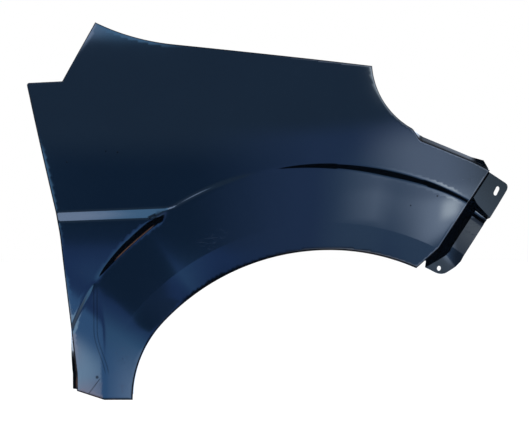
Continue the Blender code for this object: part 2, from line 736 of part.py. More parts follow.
class Sheet:
    """The open outer surface of the pressing while it is being formed."""

    def __init__(self, pitch):
        self.loop = build_loop(pitch)
        outline = np.array([c.point for c in self.loop])
        lines = [snapped(line, self.loop) for line in feature_lines(pitch)]
        points = [Vector(p) for p in outline]
        links = [(i, (i + 1) % len(outline)) for i in range(len(outline))]
        for line in lines:
            links.extend((len(points) + i, len(points) + i + 1) for i in range(len(line) - 1))
            points.extend(Vector(p) for p in line)
        points.extend(Vector(p) for p in lattice(outline, lines, pitch))
        flat, _, faces, sources, _, _ = delaunay_2d_cdt(points, links, [], 1, WELD)
        where = {source: i for i, given in enumerate(sources) for source in given}
        self.verts = [np.array([p.x, float(form(p.x, p.y)), p.y]) for p in flat]
        self.faces = [tuple(f) for f in faces]
        self.row = [where[i] for i in range(len(self.loop))]

    def add(self, positions):
        self.verts.extend(positions)
        return list(range(len(self.verts) - len(positions), len(self.verts)))

    def join(self, lower, upper):
        """Faces between two rows of the same length."""
        for i in range(len(lower) - 1):
            self.faces.append((lower[i], lower[i + 1], upper[i + 1], upper[i]))

    def roll_edges(self, steps):
        """Roll the whole trim line inboard."""
        for step in range(1, steps + 1):
            new = self.add([c.rolled(step / steps) for c in self.loop])
            self.join([*self.row, self.row[0]], [*new, new[0]])
            self.row = new

    def select(self, edge, low, high):
        """Places in the loop on one edge between two distances."""
        return [i for i, c in enumerate(self.loop)
                if c.edge == edge.name and low - WELD <= c.distance <= high + WELD]

    def flange(self, places, moves, row=None):
        """Grow a flange, from the rolled edge or from a given row, and give back its rows."""
        row = [self.row[i] for i in places] if row is None else row
        rows = []
        for move in moves:
            columns = [self.loop[i] for i in places]
            new = self.add([c.step(self.verts[v], *move(c)) for c, v in zip(columns, row)])
            self.join(row, new)
            row = new
            rows.append(new)
        return rows

    def close_step(self, upper, upper_rows, lower, lower_rows):
        """Side wall between the end of one flange and the start of the next, deeper one."""
        ends = [row[-1] for row in upper_rows]
        starts = [row[0] for row in lower_rows]
        root = [self.row[i] for i in range(upper[-1], lower[0] + 1)]
        self.faces.append((ends[0], *root, starts[0]))
        for i in range(len(ends) - 1):
            self.faces.append((ends[i + 1], ends[i], starts[i]))
            self.faces.append((ends[i + 1], starts[i], starts[i + 1]))

    def level(self, row, depth):
        """Carry a row straight inboard to one flat depth."""
        new = self.add([np.array([self.verts[v][0], depth, self.verts[v][2]]) for v in row])
        self.join(row, new)
        return new


def add_flanges(sheet):
    """Every folded flange of the panel."""
    def between(edge, clear=RELIEF):
        return sheet.select(edge, clear, edge.path.length - clear)

    sheet.flange(between(bonnet_edge), [rail_wall, rail_drop, rail_face])
    sheet.flange(sheet.select(lamp_edge, RELIEF, lamp_path.length - END_GAP), [lamp_move])
    sheet.flange(between(arch_edge), [straight_return(LIP_DEPTH)])
    sheet.flange(between(sill_edge), [sill_move])
    sheet.flange(between(heel_edge), [straight_return(RETURN_DEPTH)])
    sheet.flange(between(notch_edge), [straight_return(RETURN_DEPTH)])
    sheet.flange(between(pillar_edge), [straight_return(LAMP_RETURN)])
    tab = sheet.select(nose_edge, 0.0, TAB_END)
    strip = sheet.select(front_edge, POCKET_GAP / 2, STRIP_END)
    tab_rows = sheet.flange(tab, [joggle_move, neck_move, tab_move])
    strip_rows = sheet.flange(strip, [joggle_move, wall_move, strip_move])
    sheet.close_step(tab, tab_rows, strip, strip_rows)

    door = sheet.select(door_edge, END_GAP, door_path.length - RELIEF)
    wall_end = dict(zip(door, sheet.flange(door, [door_move])[-1]))
    for place in hinge_places:
        ear = sheet.select(door_edge, place, place + HINGE_TAB_LENGTH)
        ear_root = sheet.level([wall_end[i] for i in ear], HINGE_FACE_DEPTH)
        sheet.flange(ear, [hinge_reach(place)], ear_root)


# Holes: centre, axis, diameter, and for a slot its length and direction

def place_on(edge, distance, *steps):
    """Place reached from the rolled edge by a few (share, move) steps."""
    column = edge.column(distance)
    position = column.rolled()
    for share, move in steps:
        position = column.step(position, *(share * size for size in move(column)))
    return position, column


def flat_normal(column, slope):
    """Normal of a flange that rises inboard by a slope as it goes outward."""
    normal = np.array([-slope * column.outward[0], 1.0, -slope * column.outward[1]])
    return normal / np.linalg.norm(normal)


def rail_place(share):
    """Middle of the rail's bolting face at a share of its length, and its outward direction."""
    position, column = place_on(bonnet_edge, share * bonnet_path.length,
                                (1, rail_wall), (1, rail_drop), (MIDDLE, rail_face))
    return position, np.array([column.outward[0], 0.0, column.outward[1]])


def hinge_place(place):
    """Middle of a hinge-pillar tab."""
    middle = place + HINGE_TAB_LENGTH / 2
    position, _ = place_on(door_edge, middle, (1, door_move), (MIDDLE, hinge_reach(place)))
    position[1] = HINGE_FACE_DEPTH
    return position


def holes():
    """Every pierced hole."""
    for share in RAIL_HOLE_SHARES:
        yield (*rail_place(share), RAIL_HOLE_DIAMETER)
    for place in hinge_places:
        yield hinge_place(place), INBOARD, HINGE_HOLE_DIAMETER
    sill, column = place_on(sill_edge, sill_path.length / 2, (SILL_HOLE_SHARE, sill_move))
    yield sill, np.array([column.outward[0], 0.0, column.outward[1]]), SILL_HOLE_DIAMETER
    for angle in LINER_HOLE_ANGLES:
        place, column = place_on(arch_edge, arch_path.nearest(ARCH_RADIUS * heading(angle)),
                                 (MIDDLE, straight_return(LIP_DEPTH)))
        yield place, np.array([column.outward[0], 0.0, column.outward[1]]), LINER_HOLE_DIAMETER
    chin_place, column = place_on(front_edge, STRIP_END - CHIN_HOLE_INSET,
                                  (1, joggle_move), (1, wall_move), (MIDDLE, strip_move))
    yield chin_place, flat_normal(column, STRIP_SLOPE), CHIN_HOLE_DIAMETER
    slot_place, column = place_on(nose_edge, TAB_SLOT_PLACE,
                                  (1, joggle_move), (1, neck_move), (TAB_SLOT_SHARE, tab_move))
    run = np.array([column.outward[1], 0.0, -column.outward[0]])
    yield slot_place, flat_normal(column, TAB_SLOPE), TAB_SLOT_DIAMETER, TAB_SLOT_LENGTH, run


# Blender objects

def clear_scene():
    for old in list(bpy.data.objects):
        bpy.data.objects.remove(old, do_unlink=True)


def new_collection(name):
    collection = bpy.data.collections.new(name)
    bpy.context.scene.collection.children.link(collection)
    return collection


def coated_steel():
    """Glossy blue-black electrocoat primer."""
    material = bpy.data.materials.new("coated_steel")
    material.use_nodes = True
    shader = material.node_tree.nodes["Principled BSDF"]
    shader.inputs["Base Color"].default_value = (0.010, 0.016, 0.028, 1.0)
    shader.inputs["Roughness"].default_value = 0.2
    shader.inputs["Metallic"].default_value = 0.0
    return material


def piercing_punch(collection, number, centre, axis, diameter, length=0.0, run=None):
    """Cutter for one hole; a slot's punch is a cylinder pulled apart along the slot."""
    across = Vector(run) if run is not None else Vector(axis).orthogonal()
    mesh = bpy.data.meshes.new("punch")
    body_mesh = bmesh.new()
    turn = Matrix.Rotation(math.pi / HOLE_SIDES, 4, "Z")
    bmesh.ops.create_cone(body_mesh, cap_ends=True, segments=HOLE_SIDES, radius1=diameter / 2,
                          radius2=diameter / 2, depth=PUNCH_LENGTH, matrix=turn)
    for vert in body_mesh.verts:
        vert.co.x += math.copysign(max(length - diameter, 0.0) / 2, vert.co.x)
    body_mesh.to_mesh(mesh)
    body_mesh.free()
    punch = bpy.data.objects.new(f"punch_{number}", mesh)
    z_axis = Vector(axis).normalized()
    x_axis = (across - z_axis * across.dot(z_axis)).normalized()
    frame = Matrix((x_axis, z_axis.cross(x_axis), z_axis)).transposed().to_4x4()
    punch.matrix_world = Matrix.Translation(Vector(centre)) @ frame
    punch.hide_render = True
    punch.display_type = "WIRE"
    collection.objects.link(punch)


def sheet_object(sheet, collection, location):
    """The panel as an object, still an open surface."""
    mesh = bpy.data.meshes.new(NAME)
    mesh.from_pydata([tuple(v) for v in sheet.verts], [], sheet.faces)
    mesh.shade_smooth()
    mesh.set_sharp_from_angle(angle=SHARP_ANGLE)
    mesh.materials.append(coated_steel())
    panel = bpy.data.objects.new(NAME, mesh)
    panel.location = location
    collection.objects.link(panel)
    return panel


def main():
    clear_scene()
    parts = new_collection(NAME)
    cutters = new_collection("cutters")
    origin, _ = rail_place(RAIL_ORIGIN_SHARE)

    sheet = Sheet(PITCH)
    sheet.roll_edges(FOLD_STEPS)
    add_flanges(sheet)
    panel = sheet_object(sheet, parts, Vector(-origin))
    for number, (centre, *rest) in enumerate(holes()):
        piercing_punch(cutters, number, centre - origin, *rest)

    thicken = panel.modifiers.new("gauge", "SOLIDIFY")
    thicken.thickness = GAUGE
    thicken.offset = -1.0
    thicken.use_even_offset = True
    pierce = panel.modifiers.new("pierce", "BOOLEAN")
    pierce.operand_type = "COLLECTION"
    pierce.collection = cutters
    pierce.solver = "EXACT"


main()
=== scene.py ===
"""Looks of the van's front fender: a pressed steel panel in glossy blue-black electrocoat.

Frame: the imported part's own, in metres: +X to the front of the vehicle, +Y inboard, +Z up.
"""

import json
import math

import bmesh
import bpy
import numpy as np
from mathutils import Matrix, Vector
from mathutils.geometry import delaunay_2d_cdt

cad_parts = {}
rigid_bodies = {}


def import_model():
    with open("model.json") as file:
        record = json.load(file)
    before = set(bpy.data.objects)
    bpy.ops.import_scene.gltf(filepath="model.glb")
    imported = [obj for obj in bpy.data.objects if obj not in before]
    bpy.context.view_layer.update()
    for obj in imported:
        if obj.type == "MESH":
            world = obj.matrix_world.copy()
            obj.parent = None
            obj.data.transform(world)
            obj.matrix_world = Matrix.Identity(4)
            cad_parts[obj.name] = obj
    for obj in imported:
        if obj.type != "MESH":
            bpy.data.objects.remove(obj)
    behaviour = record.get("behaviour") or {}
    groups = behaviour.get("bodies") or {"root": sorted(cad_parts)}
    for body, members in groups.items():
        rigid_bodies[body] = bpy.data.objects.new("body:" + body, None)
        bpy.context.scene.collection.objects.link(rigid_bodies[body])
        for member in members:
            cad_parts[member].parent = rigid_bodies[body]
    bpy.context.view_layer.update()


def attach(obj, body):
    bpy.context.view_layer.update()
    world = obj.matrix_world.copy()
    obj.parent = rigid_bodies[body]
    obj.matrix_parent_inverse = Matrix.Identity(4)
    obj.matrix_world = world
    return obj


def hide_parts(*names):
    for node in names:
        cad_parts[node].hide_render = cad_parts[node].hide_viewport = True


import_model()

GAUGE = 0.0008

# Wheel arch, its flared band and the leg behind the wheel
ARCH_RADIUS = 0.3883
BAND_WIDTH = 0.1487
ARCH_FRONT_ANGLE = math.radians(66.4)
LEG_TUCK = 0.0531
SILL_HEIGHT = 0.1336
TOE_WIDTH = 0.048
HEEL_WIDTH = 0.0475
HEEL_RISE = 0.015
HEEL_HEIGHT = 0.030
CREASE_FRONT_ANGLE = math.radians(61.9)
CREASE_TURN_ANGLE = math.radians(111.0)
CREASE_FOOT_HEIGHT = 0.124

# Front edge, where the bumper cover laps the panel
NOSE_LENGTH = 0.068
NOSE_RAKE = math.radians(54.9)
CHIN_LENGTH = 0.0526
CHIN_RAKE = math.radians(40.4)

# Headlamp cut-out
LEDGE_TIP_RUN = 0.0359
LEDGE_TIP_DROP = 0.0165
LEDGE_RUN = 0.0936
LEDGE_DROP = 0.0348
DIP_RUN = 0.012
DIP_DROP = 0.020
DIP_FILLET = 0.014
LAMP_LENGTH = 0.2133
LAMP_HEIGHT = 0.182
LAMP_LEAN = math.radians(4.5)
LAMP_SLOPE = math.radians(28.5)

# Bonnet edge, windscreen pillar edge, notch and door edge
BONNET_DROP = 0.0723
BONNET_SLOPE = math.radians(5.5)
PEAK_SLOPE = math.radians(26.5)
PEAK_SETBACK = 0.0537
PEAK_RISE = 0.1050
NOTCH_WIDTH = 0.0615
NOTCH_RISE = 0.003
DOOR_RUN = 0.0890
DOOR_LEAN = 0.028
KNEE_DROP = 0.012
KNEE_FILLET = 0.35
CORNER_FILLET = 0.004

# Swage line across the door side
SWAGE_BELOW_NOTCH = 0.2210
SWAGE_SLOPE = math.radians(2.25)
SWAGE_HEIGHT = 0.0185
SWAGE_STEP = 0.0092

# Body form: radii of the curved panel
PLAN_RADIUS = 2.4
NOSE_RADIUS = 1.6
NOSE_START = 0.050
CROWN_RADIUS = 0.95
TUCK_RADIUS = 3.0
PRESS_RADIUS = 0.0025

# Flared band: how far it stands proud of the panel, by the angle about the wheel centre
BAND_NOSE_RECESS = 0.0018
BAND_RECESS = 0.008
BAND_MIDDLE_LIFT = 0.0025
BAND_REAR_LIFT = 0.0087
RECESS_GROWS = (math.radians(62.0), math.radians(80.0))
RECESS_ENDS = (math.radians(76.0), math.radians(106.0))
MIDDLE_RISES = (math.radians(100.0), math.radians(118.0))
REAR_RISES = (math.radians(126.0), math.radians(146.0))
STEP_MIN_WIDTH = 0.002
STEP_SPREAD = 1.0
LEG_TURN = math.radians(8.0)
LEG_TURN_FADE = 0.20

# Folds
FOLD_RADIUS = 0.0025
FOLD_STEPS = 6
SQUARE_FOLD = math.radians(90.0)
RELIEF = 0.009
TAB_CORNER = 0.006

LIP_DEPTH = 0.020
RETURN_DEPTH = 0.012
LAMP_RETURN = 0.014
RAIL_WALL = 0.010
RAIL_DROP = 0.016
RAIL_WIDTH = 0.028
LEDGE_RISES = (0.0085, 0.0075, 0.0120)
LEDGE_RUNOUT = 0.016
LEDGE_DEPTH = 0.013
LEDGE_NOSE_DEPTH = 0.0033
DOOR_SPLAY = 0.008
DOOR_SPLAY_HEIGHT = 0.110
HINGE_FACE_DEPTH = 0.030
HINGE_TAB_REACH = 0.030
HINGE_TAB_LENGTH = 0.036
HINGE_TAB_ABOVE_HEEL = 0.075
HINGE_TAB_BELOW_NOTCH = 0.082
SILL_TAB_DEPTH = 0.032
WALL_RUN = 0.021
WALL_DEPTH = 0.027
WALL_END_SHARE = 0.5
STRIP_WIDTHS = (0.0265, 0.0270, 0.0300)
STRIP_SLOPE = 0.30
CHIN_CLEAR = 0.0212
CHIN_CORNER = 0.010
WALL_LEANS = (math.radians(37.0), math.radians(-30.0), math.radians(35.0))
STRIP_LEANS = (math.radians(0.0), math.radians(0.0), math.radians(-24.0))
POCKET_GAP = 0.0045
POCKET_RISE = 0.0125
JOGGLE = 0.0030
NECK = 0.013
NECK_CUT = 0.016
NECK_LEANS = (math.radians(-5.0), math.radians(5.0), math.radians(38.0))
TAB_WIDTHS = (0.0470, 0.0495)
TAB_SLOPE = 0.45
TAB_LEANS = (math.radians(-5.0), math.radians(10.0))
NOSE_CORNER = 0.009
END_GAP = 0.003

# Holes
RAIL_HOLE_DIAMETER = 0.009
RAIL_HOLE_SHARES = (0.12, 0.52, 0.90)
HINGE_HOLE_DIAMETER = 0.0105
SILL_HOLE_DIAMETER = 0.009
SILL_HOLE_SHARE = 0.6
LINER_HOLE_DIAMETER = 0.0065
LINER_HOLE_ANGLES = tuple(math.radians(a) for a in (72.0, 92.0, 112.0, 132.0))
CHIN_HOLE_DIAMETER = 0.008
CHIN_HOLE_INSET = 0.010
TAB_SLOT_DIAMETER = 0.008
TAB_SLOT_LENGTH = 0.017
TAB_SLOT_PLACE = 0.022
TAB_SLOT_SHARE = 0.5
RAIL_ORIGIN_SHARE = 0.715
MIDDLE = 0.5
PUNCH_LENGTH = 0.016

# Mesh sizes
PITCH = 0.005
MAX_TURN = math.radians(10.0)
ARC_STEP = math.radians(1.5)
CLEAR_OF_LINES = 0.62
SLOPE_PROBE = 0.002
HOLE_SIDES = 32
CORNER_SHARES = (0.0, 0.08, 0.2, 0.4, 0.7, 1.0)
PRESS_LINES = ((0.0, -1.0), (0.0, 0.0), (0.33, 0.0), (0.67, 0.0), (1.0, 0.0), (1.0, 1.0))
SWAGE_LINES = ((0.0, -1.0), (0.0, 0.0), (0.0, 1.0), (1.0, -1.0), (1.0, 0.0), (1.0, 1.0))
CREASE_SAMPLES = 721
SHARP_ANGLE = math.radians(18.0)
WELD = 1e-6

# Kind of triangles asked for, and the fold mark of the skin's own edge; a folded vertex has 1
INSIDE_ONLY = 1
RIM_MARK = 0.5

INBOARD = np.array([0.0, 1.0, 0.0])


# Flat geometry in the side view: a point is (x, z)

def heading(angle):
    """Unit vector at an angle above the +X direction."""
    return np.array([math.cos(angle), math.sin(angle)])


def left_of(direction):
    """Direction turned a quarter turn to the left."""
    return np.array([-direction[1], direction[0]])


def meet(p, along_p, q, along_q):
    """Point where two lines cross."""
    cross = along_p[0] * along_q[1] - along_p[1] * along_q[0]
    gap = q - p
    return p + along_p * (gap[0] * along_q[1] - gap[1] * along_q[0]) / cross


def arc(centre, radius, start, end):
    """Points along an arc, ends included."""
    count = max(2, math.ceil(abs(end - start) / ARC_STEP))
    return [centre + radius * heading(start + (end - start) * i / count) for i in range(count + 1)]


def fillet(before, corner, after, radius=None):
    """Arc tangent to both lines at a corner. Without a radius it fills the shorter line."""
    back = (before - corner) / np.linalg.norm(before - corner)
    ahead = (after - corner) / np.linalg.norm(after - corner)
    half = math.acos(np.clip(back @ ahead, -1.0, 1.0)) / 2
    room = min(np.linalg.norm(before - corner), np.linalg.norm(after - corner))
    tangent = room if radius is None else min(radius / math.tan(half), room)
    middle = (back + ahead) / np.linalg.norm(back + ahead)
    centre = corner + middle * tangent / math.cos(half)
    start = corner + back * tangent - centre
    end = corner + ahead * tangent - centre
    first = math.atan2(start[1], start[0])
    turn = math.atan2(start[0] * end[1] - start[1] * end[0], start @ end)
    return arc(centre, tangent * math.tan(half), first, first + turn)


class Path:
    """A polyline with distances along it."""

    def __init__(self, points):
        kept = [np.asarray(points[0], dtype=float)]
        for point in points[1:]:
            if np.linalg.norm(point - kept[-1]) > WELD:
                kept.append(np.asarray(point, dtype=float))
        self.points = np.array(kept)
        steps = np.diff(self.points, axis=0)
        self.lengths = np.linalg.norm(steps, axis=1)
        self.travel = np.concatenate([[0.0], np.cumsum(self.lengths)])
        self.headings = steps / self.lengths[:, None]
        self.length = self.travel[-1]

    def at(self, distance):
        x = np.interp(distance, self.travel, self.points[:, 0])
        z = np.interp(distance, self.travel, self.points[:, 1])
        return np.array([x, z])

    def direction(self, distance):
        """Heading at a distance; at a bend, the mean of both sides."""
        span = self.at(distance + SLOPE_PROBE) - self.at(distance - SLOPE_PROBE)
        return span / np.linalg.norm(span)

    def nearest(self, point):
        """Distance along the path of its nearest place to a point."""
        along = np.einsum("ij,ij->i", point - self.points[:-1], self.headings)
        along = np.clip(along, 0.0, self.lengths)
        feet = self.points[:-1] + self.headings * along[:, None]
        best = int(np.argmin(np.linalg.norm(feet - point, axis=1)))
        return self.travel[best] + along[best]

    def stations(self, pitch, stops=()):
        """Distances about a pitch apart, closer where the path turns, through every stop."""
        bends = np.einsum("ij,ij->i", self.headings[:-1], self.headings[1:])
        turns = np.arccos(np.clip(bends, -1.0, 1.0))
        effort = self.lengths / pitch
        effort[:-1] += turns / MAX_TURN / 2
        effort[1:] += turns / MAX_TURN / 2
        effort = np.concatenate([[0.0], np.cumsum(effort)])
        marks = sorted({0.0, self.length, *stops})
        found = []
        for low, high in zip(marks, marks[1:]):
            first, last = np.interp([low, high], self.travel, effort)
            count = max(1, round(last - first))
            spaced = np.interp(np.linspace(first, last, count + 1), effort, self.travel)
            found.extend([low, *spaced[1:-1]])
        return found + [self.length]


# Trim lines of the blank, worked out from the sizes above

ORIGIN = np.zeros(2)
CREASE_RADIUS = ARCH_RADIUS + BAND_WIDTH
LEG_FRONT = LEG_TUCK - ARCH_RADIUS

arch_front = ARCH_RADIUS * heading(ARCH_FRONT_ANGLE)
chin = arch_front + CHIN_LENGTH * heading(CHIN_RAKE)
crease_front = CREASE_RADIUS * heading(CREASE_FRONT_ANGLE)
nose = crease_front + NOSE_LENGTH * heading(NOSE_RAKE)
pocket_top = crease_front + POCKET_RISE * heading(NOSE_RAKE)
ledge_bend = nose + np.array([-LEDGE_TIP_RUN, LEDGE_TIP_DROP])
dip_low = ledge_bend + np.array([-LEDGE_RUN, LEDGE_DROP])
dip_high = dip_low + np.array([-DIP_RUN, DIP_DROP])
lamp_corner = nose + np.array([-LAMP_LENGTH, LAMP_HEIGHT])
lamp_knee = meet(lamp_corner, heading(LAMP_LEAN - SQUARE_FOLD), dip_high, heading(-LAMP_SLOPE))
toe = np.array([LEG_FRONT, SILL_HEIGHT])
instep = toe - np.array([TOE_WIDTH, 0.0])
heel = instep + np.array([-HEEL_WIDTH, HEEL_RISE])
heel_top = heel + np.array([0.0, HEEL_HEIGHT])
peak = np.array([heel[0] - DOOR_RUN + NOTCH_WIDTH + PEAK_SETBACK, lamp_corner[1] + BONNET_DROP])
bonnet_knee = meet(peak, heading(-PEAK_SLOPE), lamp_corner, heading(-BONNET_SLOPE))
notch_inner = peak - np.array([PEAK_SETBACK, PEAK_RISE])
notch_outer = notch_inner - np.array([NOTCH_WIDTH, NOTCH_RISE])
SWAGE_TOP = notch_outer[1] - SWAGE_BELOW_NOTCH
BELT = SWAGE_TOP - SWAGE_HEIGHT
door_knee = np.array([heel[0] - DOOR_LEAN, BELT - KNEE_DROP])
LEG_ARC_RADIUS = (ARCH_RADIUS ** 2 - toe @ toe) / (2 * LEG_TUCK)
leg_arc_centre = toe + np.array([LEG_ARC_RADIUS, 0.0])
LEG_ARC_ANGLE = math.atan2(leg_arc_centre[1], leg_arc_centre[0])

bonnet_path = Path([peak, *fillet(peak, bonnet_knee, lamp_corner), lamp_corner])
dip_curve = fillet(lamp_knee, dip_high, dip_low, DIP_FILLET)
lamp_path = Path([
    lamp_corner,
    *fillet(lamp_corner, lamp_knee, dip_curve[0]),
    *dip_curve,
    *fillet(dip_high, dip_low, ledge_bend, DIP_FILLET),
    ledge_bend,
    nose,
])
nose_path = Path([nose, pocket_top])
front_path = Path([pocket_top, crease_front, chin, arch_front])
arch_path = Path([
    *arc(ORIGIN, ARCH_RADIUS, ARCH_FRONT_ANGLE, LEG_ARC_ANGLE),
    *arc(leg_arc_centre, LEG_ARC_RADIUS, LEG_ARC_ANGLE, math.pi),
])
sill_path = Path([toe, instep])
heel_path = Path([instep, heel])
door_path = Path([
    heel,
    heel_top,
    *fillet(heel_top, door_knee, notch_outer, KNEE_FILLET),
    *fillet(door_knee, notch_outer, notch_inner, CORNER_FILLET),
])
hinge_places = (HINGE_TAB_ABOVE_HEEL, door_path.length - HINGE_TAB_BELOW_NOTCH - HINGE_TAB_LENGTH)
notch_start = door_path.points[-1]
notch_path = Path([notch_start, notch_inner])
pillar_path = Path([notch_inner, peak])


# Feature lines inside the trim lines

crease_foot = door_path.at(np.interp(SILL_HEIGHT + CREASE_FOOT_HEIGHT,
                                     door_path.points[:, 1], door_path.travel))
crease_turn = CREASE_RADIUS * heading(CREASE_TURN_ANGLE)
REAR_SPAN = crease_turn - crease_foot
REAR_RADIUS = REAR_SPAN @ REAR_SPAN / (2 * heading(CREASE_TURN_ANGLE) @ REAR_SPAN)
rear_centre = (CREASE_RADIUS - REAR_RADIUS) * heading(CREASE_TURN_ANGLE)
FOOT_ANGLE = math.atan2(*(crease_foot - rear_centre)[::-1])


def crease_depth(x, z):
    """How far a point lies inside the crease round the arch; negative outside it."""
    front = CREASE_RADIUS - np.hypot(x, z)
    rear = REAR_RADIUS - np.hypot(x - rear_centre[0], z - rear_centre[1])
    return np.where(np.arctan2(z, x) < CREASE_TURN_ANGLE, front, rear)


def crease_point(angle, depth=0.0):
    """Point at a depth inside the crease, at an angle about the centre of its own arc."""
    if angle < CREASE_TURN_ANGLE:
        return (CREASE_RADIUS - depth) * heading(angle)
    return rear_centre + (REAR_RADIUS - depth) * heading(angle)


# Body form: the depth y of the panel at each point of the side view

def ramp(distance, width, soften):
    """Rise from 0 to 1 over a width, its two corners eased over the soften distance."""
    def area(u):
        inside = np.clip(u, 0.0, width)
        return inside * inside / (2 * width) + np.maximum(u - width, 0.0)
    return (area(distance + soften) - area(distance - soften)) / (2 * soften)


def smooth(value, span):
    """Smooth step from 0 to 1 over a span."""
    t = np.clip((value - span[0]) / (span[1] - span[0]), 0.0, 1.0)
    return t * t * (3 - 2 * t)


def body(x, z):
    """Double-curved body surface, without its features."""
    plan = (x - door_knee[0]) ** 2 / (2 * PLAN_RADIUS)
    front = np.maximum(x + NOSE_START, 0.0) ** 2 / (2 * NOSE_RADIUS)
    crown = np.maximum(z - BELT, 0.0) ** 2 / (2 * CROWN_RADIUS)
    tuck = np.maximum(BELT - z, 0.0) ** 2 / (2 * TUCK_RADIUS)
    return plan + front + crown + tuck


def swage_line(x, drop=0.0):
    """Height of the swage's top line, or of a line below it."""
    return SWAGE_TOP - drop + (x - door_knee[0]) * math.tan(SWAGE_SLOPE)


def swage(x, z):
    """Outboard step of the panel below the swage."""
    rear = x < ORIGIN[0]
    return np.where(rear, -SWAGE_STEP * ramp(swage_line(x) - z, SWAGE_HEIGHT, PRESS_RADIUS), 0.0)


def band(angle):
    """How far inboard the band round the arch lies, against the upper panel."""
    recess = BAND_NOSE_RECESS + (BAND_RECESS - BAND_NOSE_RECESS) * smooth(angle, RECESS_GROWS)
    recess = recess * (1 - smooth(angle, RECESS_ENDS))
    lift = BAND_MIDDLE_LIFT * smooth(angle, MIDDLE_RISES) + BAND_REAR_LIFT * smooth(angle, REAR_RISES)
    return recess - lift


def step_width(angle, x, z):
    """Width of the pressed step along the crease: wider where it is deeper."""
    return STEP_MIN_WIDTH + STEP_SPREAD * np.abs(band(angle) - swage(x, z))


def leg_turn(x, z):
    """The rear strip of the leg, turned back towards the door."""
    fade = 1 - smooth(z, (heel_top[1], heel_top[1] + LEG_TURN_FADE))
    return math.tan(LEG_TURN) * np.maximum(instep[0] - x, 0.0) * fade


def form(x, z):
    """Depth of the pressed panel's outer face."""
    x = np.asarray(x, dtype=float)
    z = np.asarray(z, dtype=float)
    angle = np.arctan2(z, x)
    outer = swage(x, z)
    inside = ramp(crease_depth(x, z), step_width(angle, x, z), PRESS_RADIUS)
    return body(x, z) + outer + (band(angle) - outer) * inside + leg_turn(x, z)


def beside_crease(angle, share, radii):
    """Point inside the crease by a share of its step's width and a number of press radii."""
    edge = crease_point(angle)
    width = float(step_width(math.atan2(edge[1], edge[0]), *edge))
    return crease_point(angle, share * width + radii * PRESS_RADIUS)


def swage_across(path, drop):
    """Place where a line of the swage crosses a path."""
    heights = path.points[:, 1] - swage_line(path.points[:, 0], drop)
    first = int(np.nonzero(heights[:-1] * heights[1:] <= 0)[0][0])
    share = heights[first] / (heights[first] - heights[first + 1])
    return path.points[first] + share * (path.points[first + 1] - path.points[first])


class Column:
    """One place on the trim line, from which the folds are built inboard."""

    def __init__(self, point, outward, fold, edge="", distance=0.0):
        self.outward = outward
        self.fold = fold
        self.edge = edge
        self.distance = distance
        probe = SLOPE_PROBE * outward / np.linalg.norm(outward)
        self.slope = math.atan2(float(form(*point) - form(*(point - probe))), SLOPE_PROBE)
        self.climb = float(form(*(point - left_of(probe))) - form(*(point + left_of(probe))))
        self.climb /= 2 * SLOPE_PROBE
        self.point = point - outward * FOLD_RADIUS * (math.sin(fold) - math.sin(self.slope))
        self.side = np.array([outward[0], 0.0, outward[1]])

    def step(self, position, out, depth, along=0.0):
        """Move outward in the side view, inboard, and along the trim line with its slope."""
        x = self.outward[0] * out + self.outward[1] * along
        z = self.outward[1] * out - self.outward[0] * along
        return position + np.array([x, depth + along * self.climb, z])

    def rolled(self, share=1.0):
        """Place on the rolled edge, from its start at 0 to its end at 1."""
        turned = self.slope + (self.fold - self.slope) * share
        out = FOLD_RADIUS * (math.sin(turned) - math.sin(self.slope))
        depth = FOLD_RADIUS * (math.cos(self.slope) - math.cos(turned))
        start = np.array([self.point[0], float(form(*self.point)), self.point[1]])
        return self.step(start, out, depth)


class Edge:
    """One stretch of the trim line between two corners. Its fold may change along it."""

    def __init__(self, name, path, fold=SQUARE_FOLD, stops=None):
        self.name = name
        self.path = path
        self.fold = fold
        self.stops = stops or [RELIEF, path.length - RELIEF]

    def fold_at(self, distance):
        return self.fold(distance) if callable(self.fold) else self.fold

    def column(self, distance):
        outward = left_of(self.path.direction(distance))
        return Column(self.path.at(distance), outward, self.fold_at(distance), self.name, distance)

    def columns(self, pitch):
        return [self.column(d) for d in self.path.stations(pitch, self.stops)[1:-1]]


def corner_column(last, edge):
    """Column on the corner between two edges, with its outward direction mitred."""
    first, second = left_of(last.path.headings[-1]), left_of(edge.path.headings[0])
    middle = (first + second) / np.linalg.norm(first + second)
    fold = (last.fold_at(last.path.length) + edge.fold_at(0.0)) / 2
    return Column(edge.path.points[0], middle / (middle @ first), fold)


def rounded_stops(low, high, corner=TAB_CORNER):
    """Stops for a tab between two distances, with rounded corners."""
    return [low + corner * s for s in CORNER_SHARES] + [high - corner * s for s in CORNER_SHARES]


def corner_loss(inset, corner=TAB_CORNER):
    """How much a rounded corner takes off a tab's width, at a distance in from its end."""
    inset = min(inset, corner)
    return corner - math.sqrt(max(corner ** 2 - (corner - inset) ** 2, 0.0))


def blend(distance, marks, sizes):
    """A size that changes evenly between marks along an edge."""
    return float(np.interp(distance, marks, sizes))


# Flanges: each move gives (out, depth) or (out, depth, along) from a column's last place

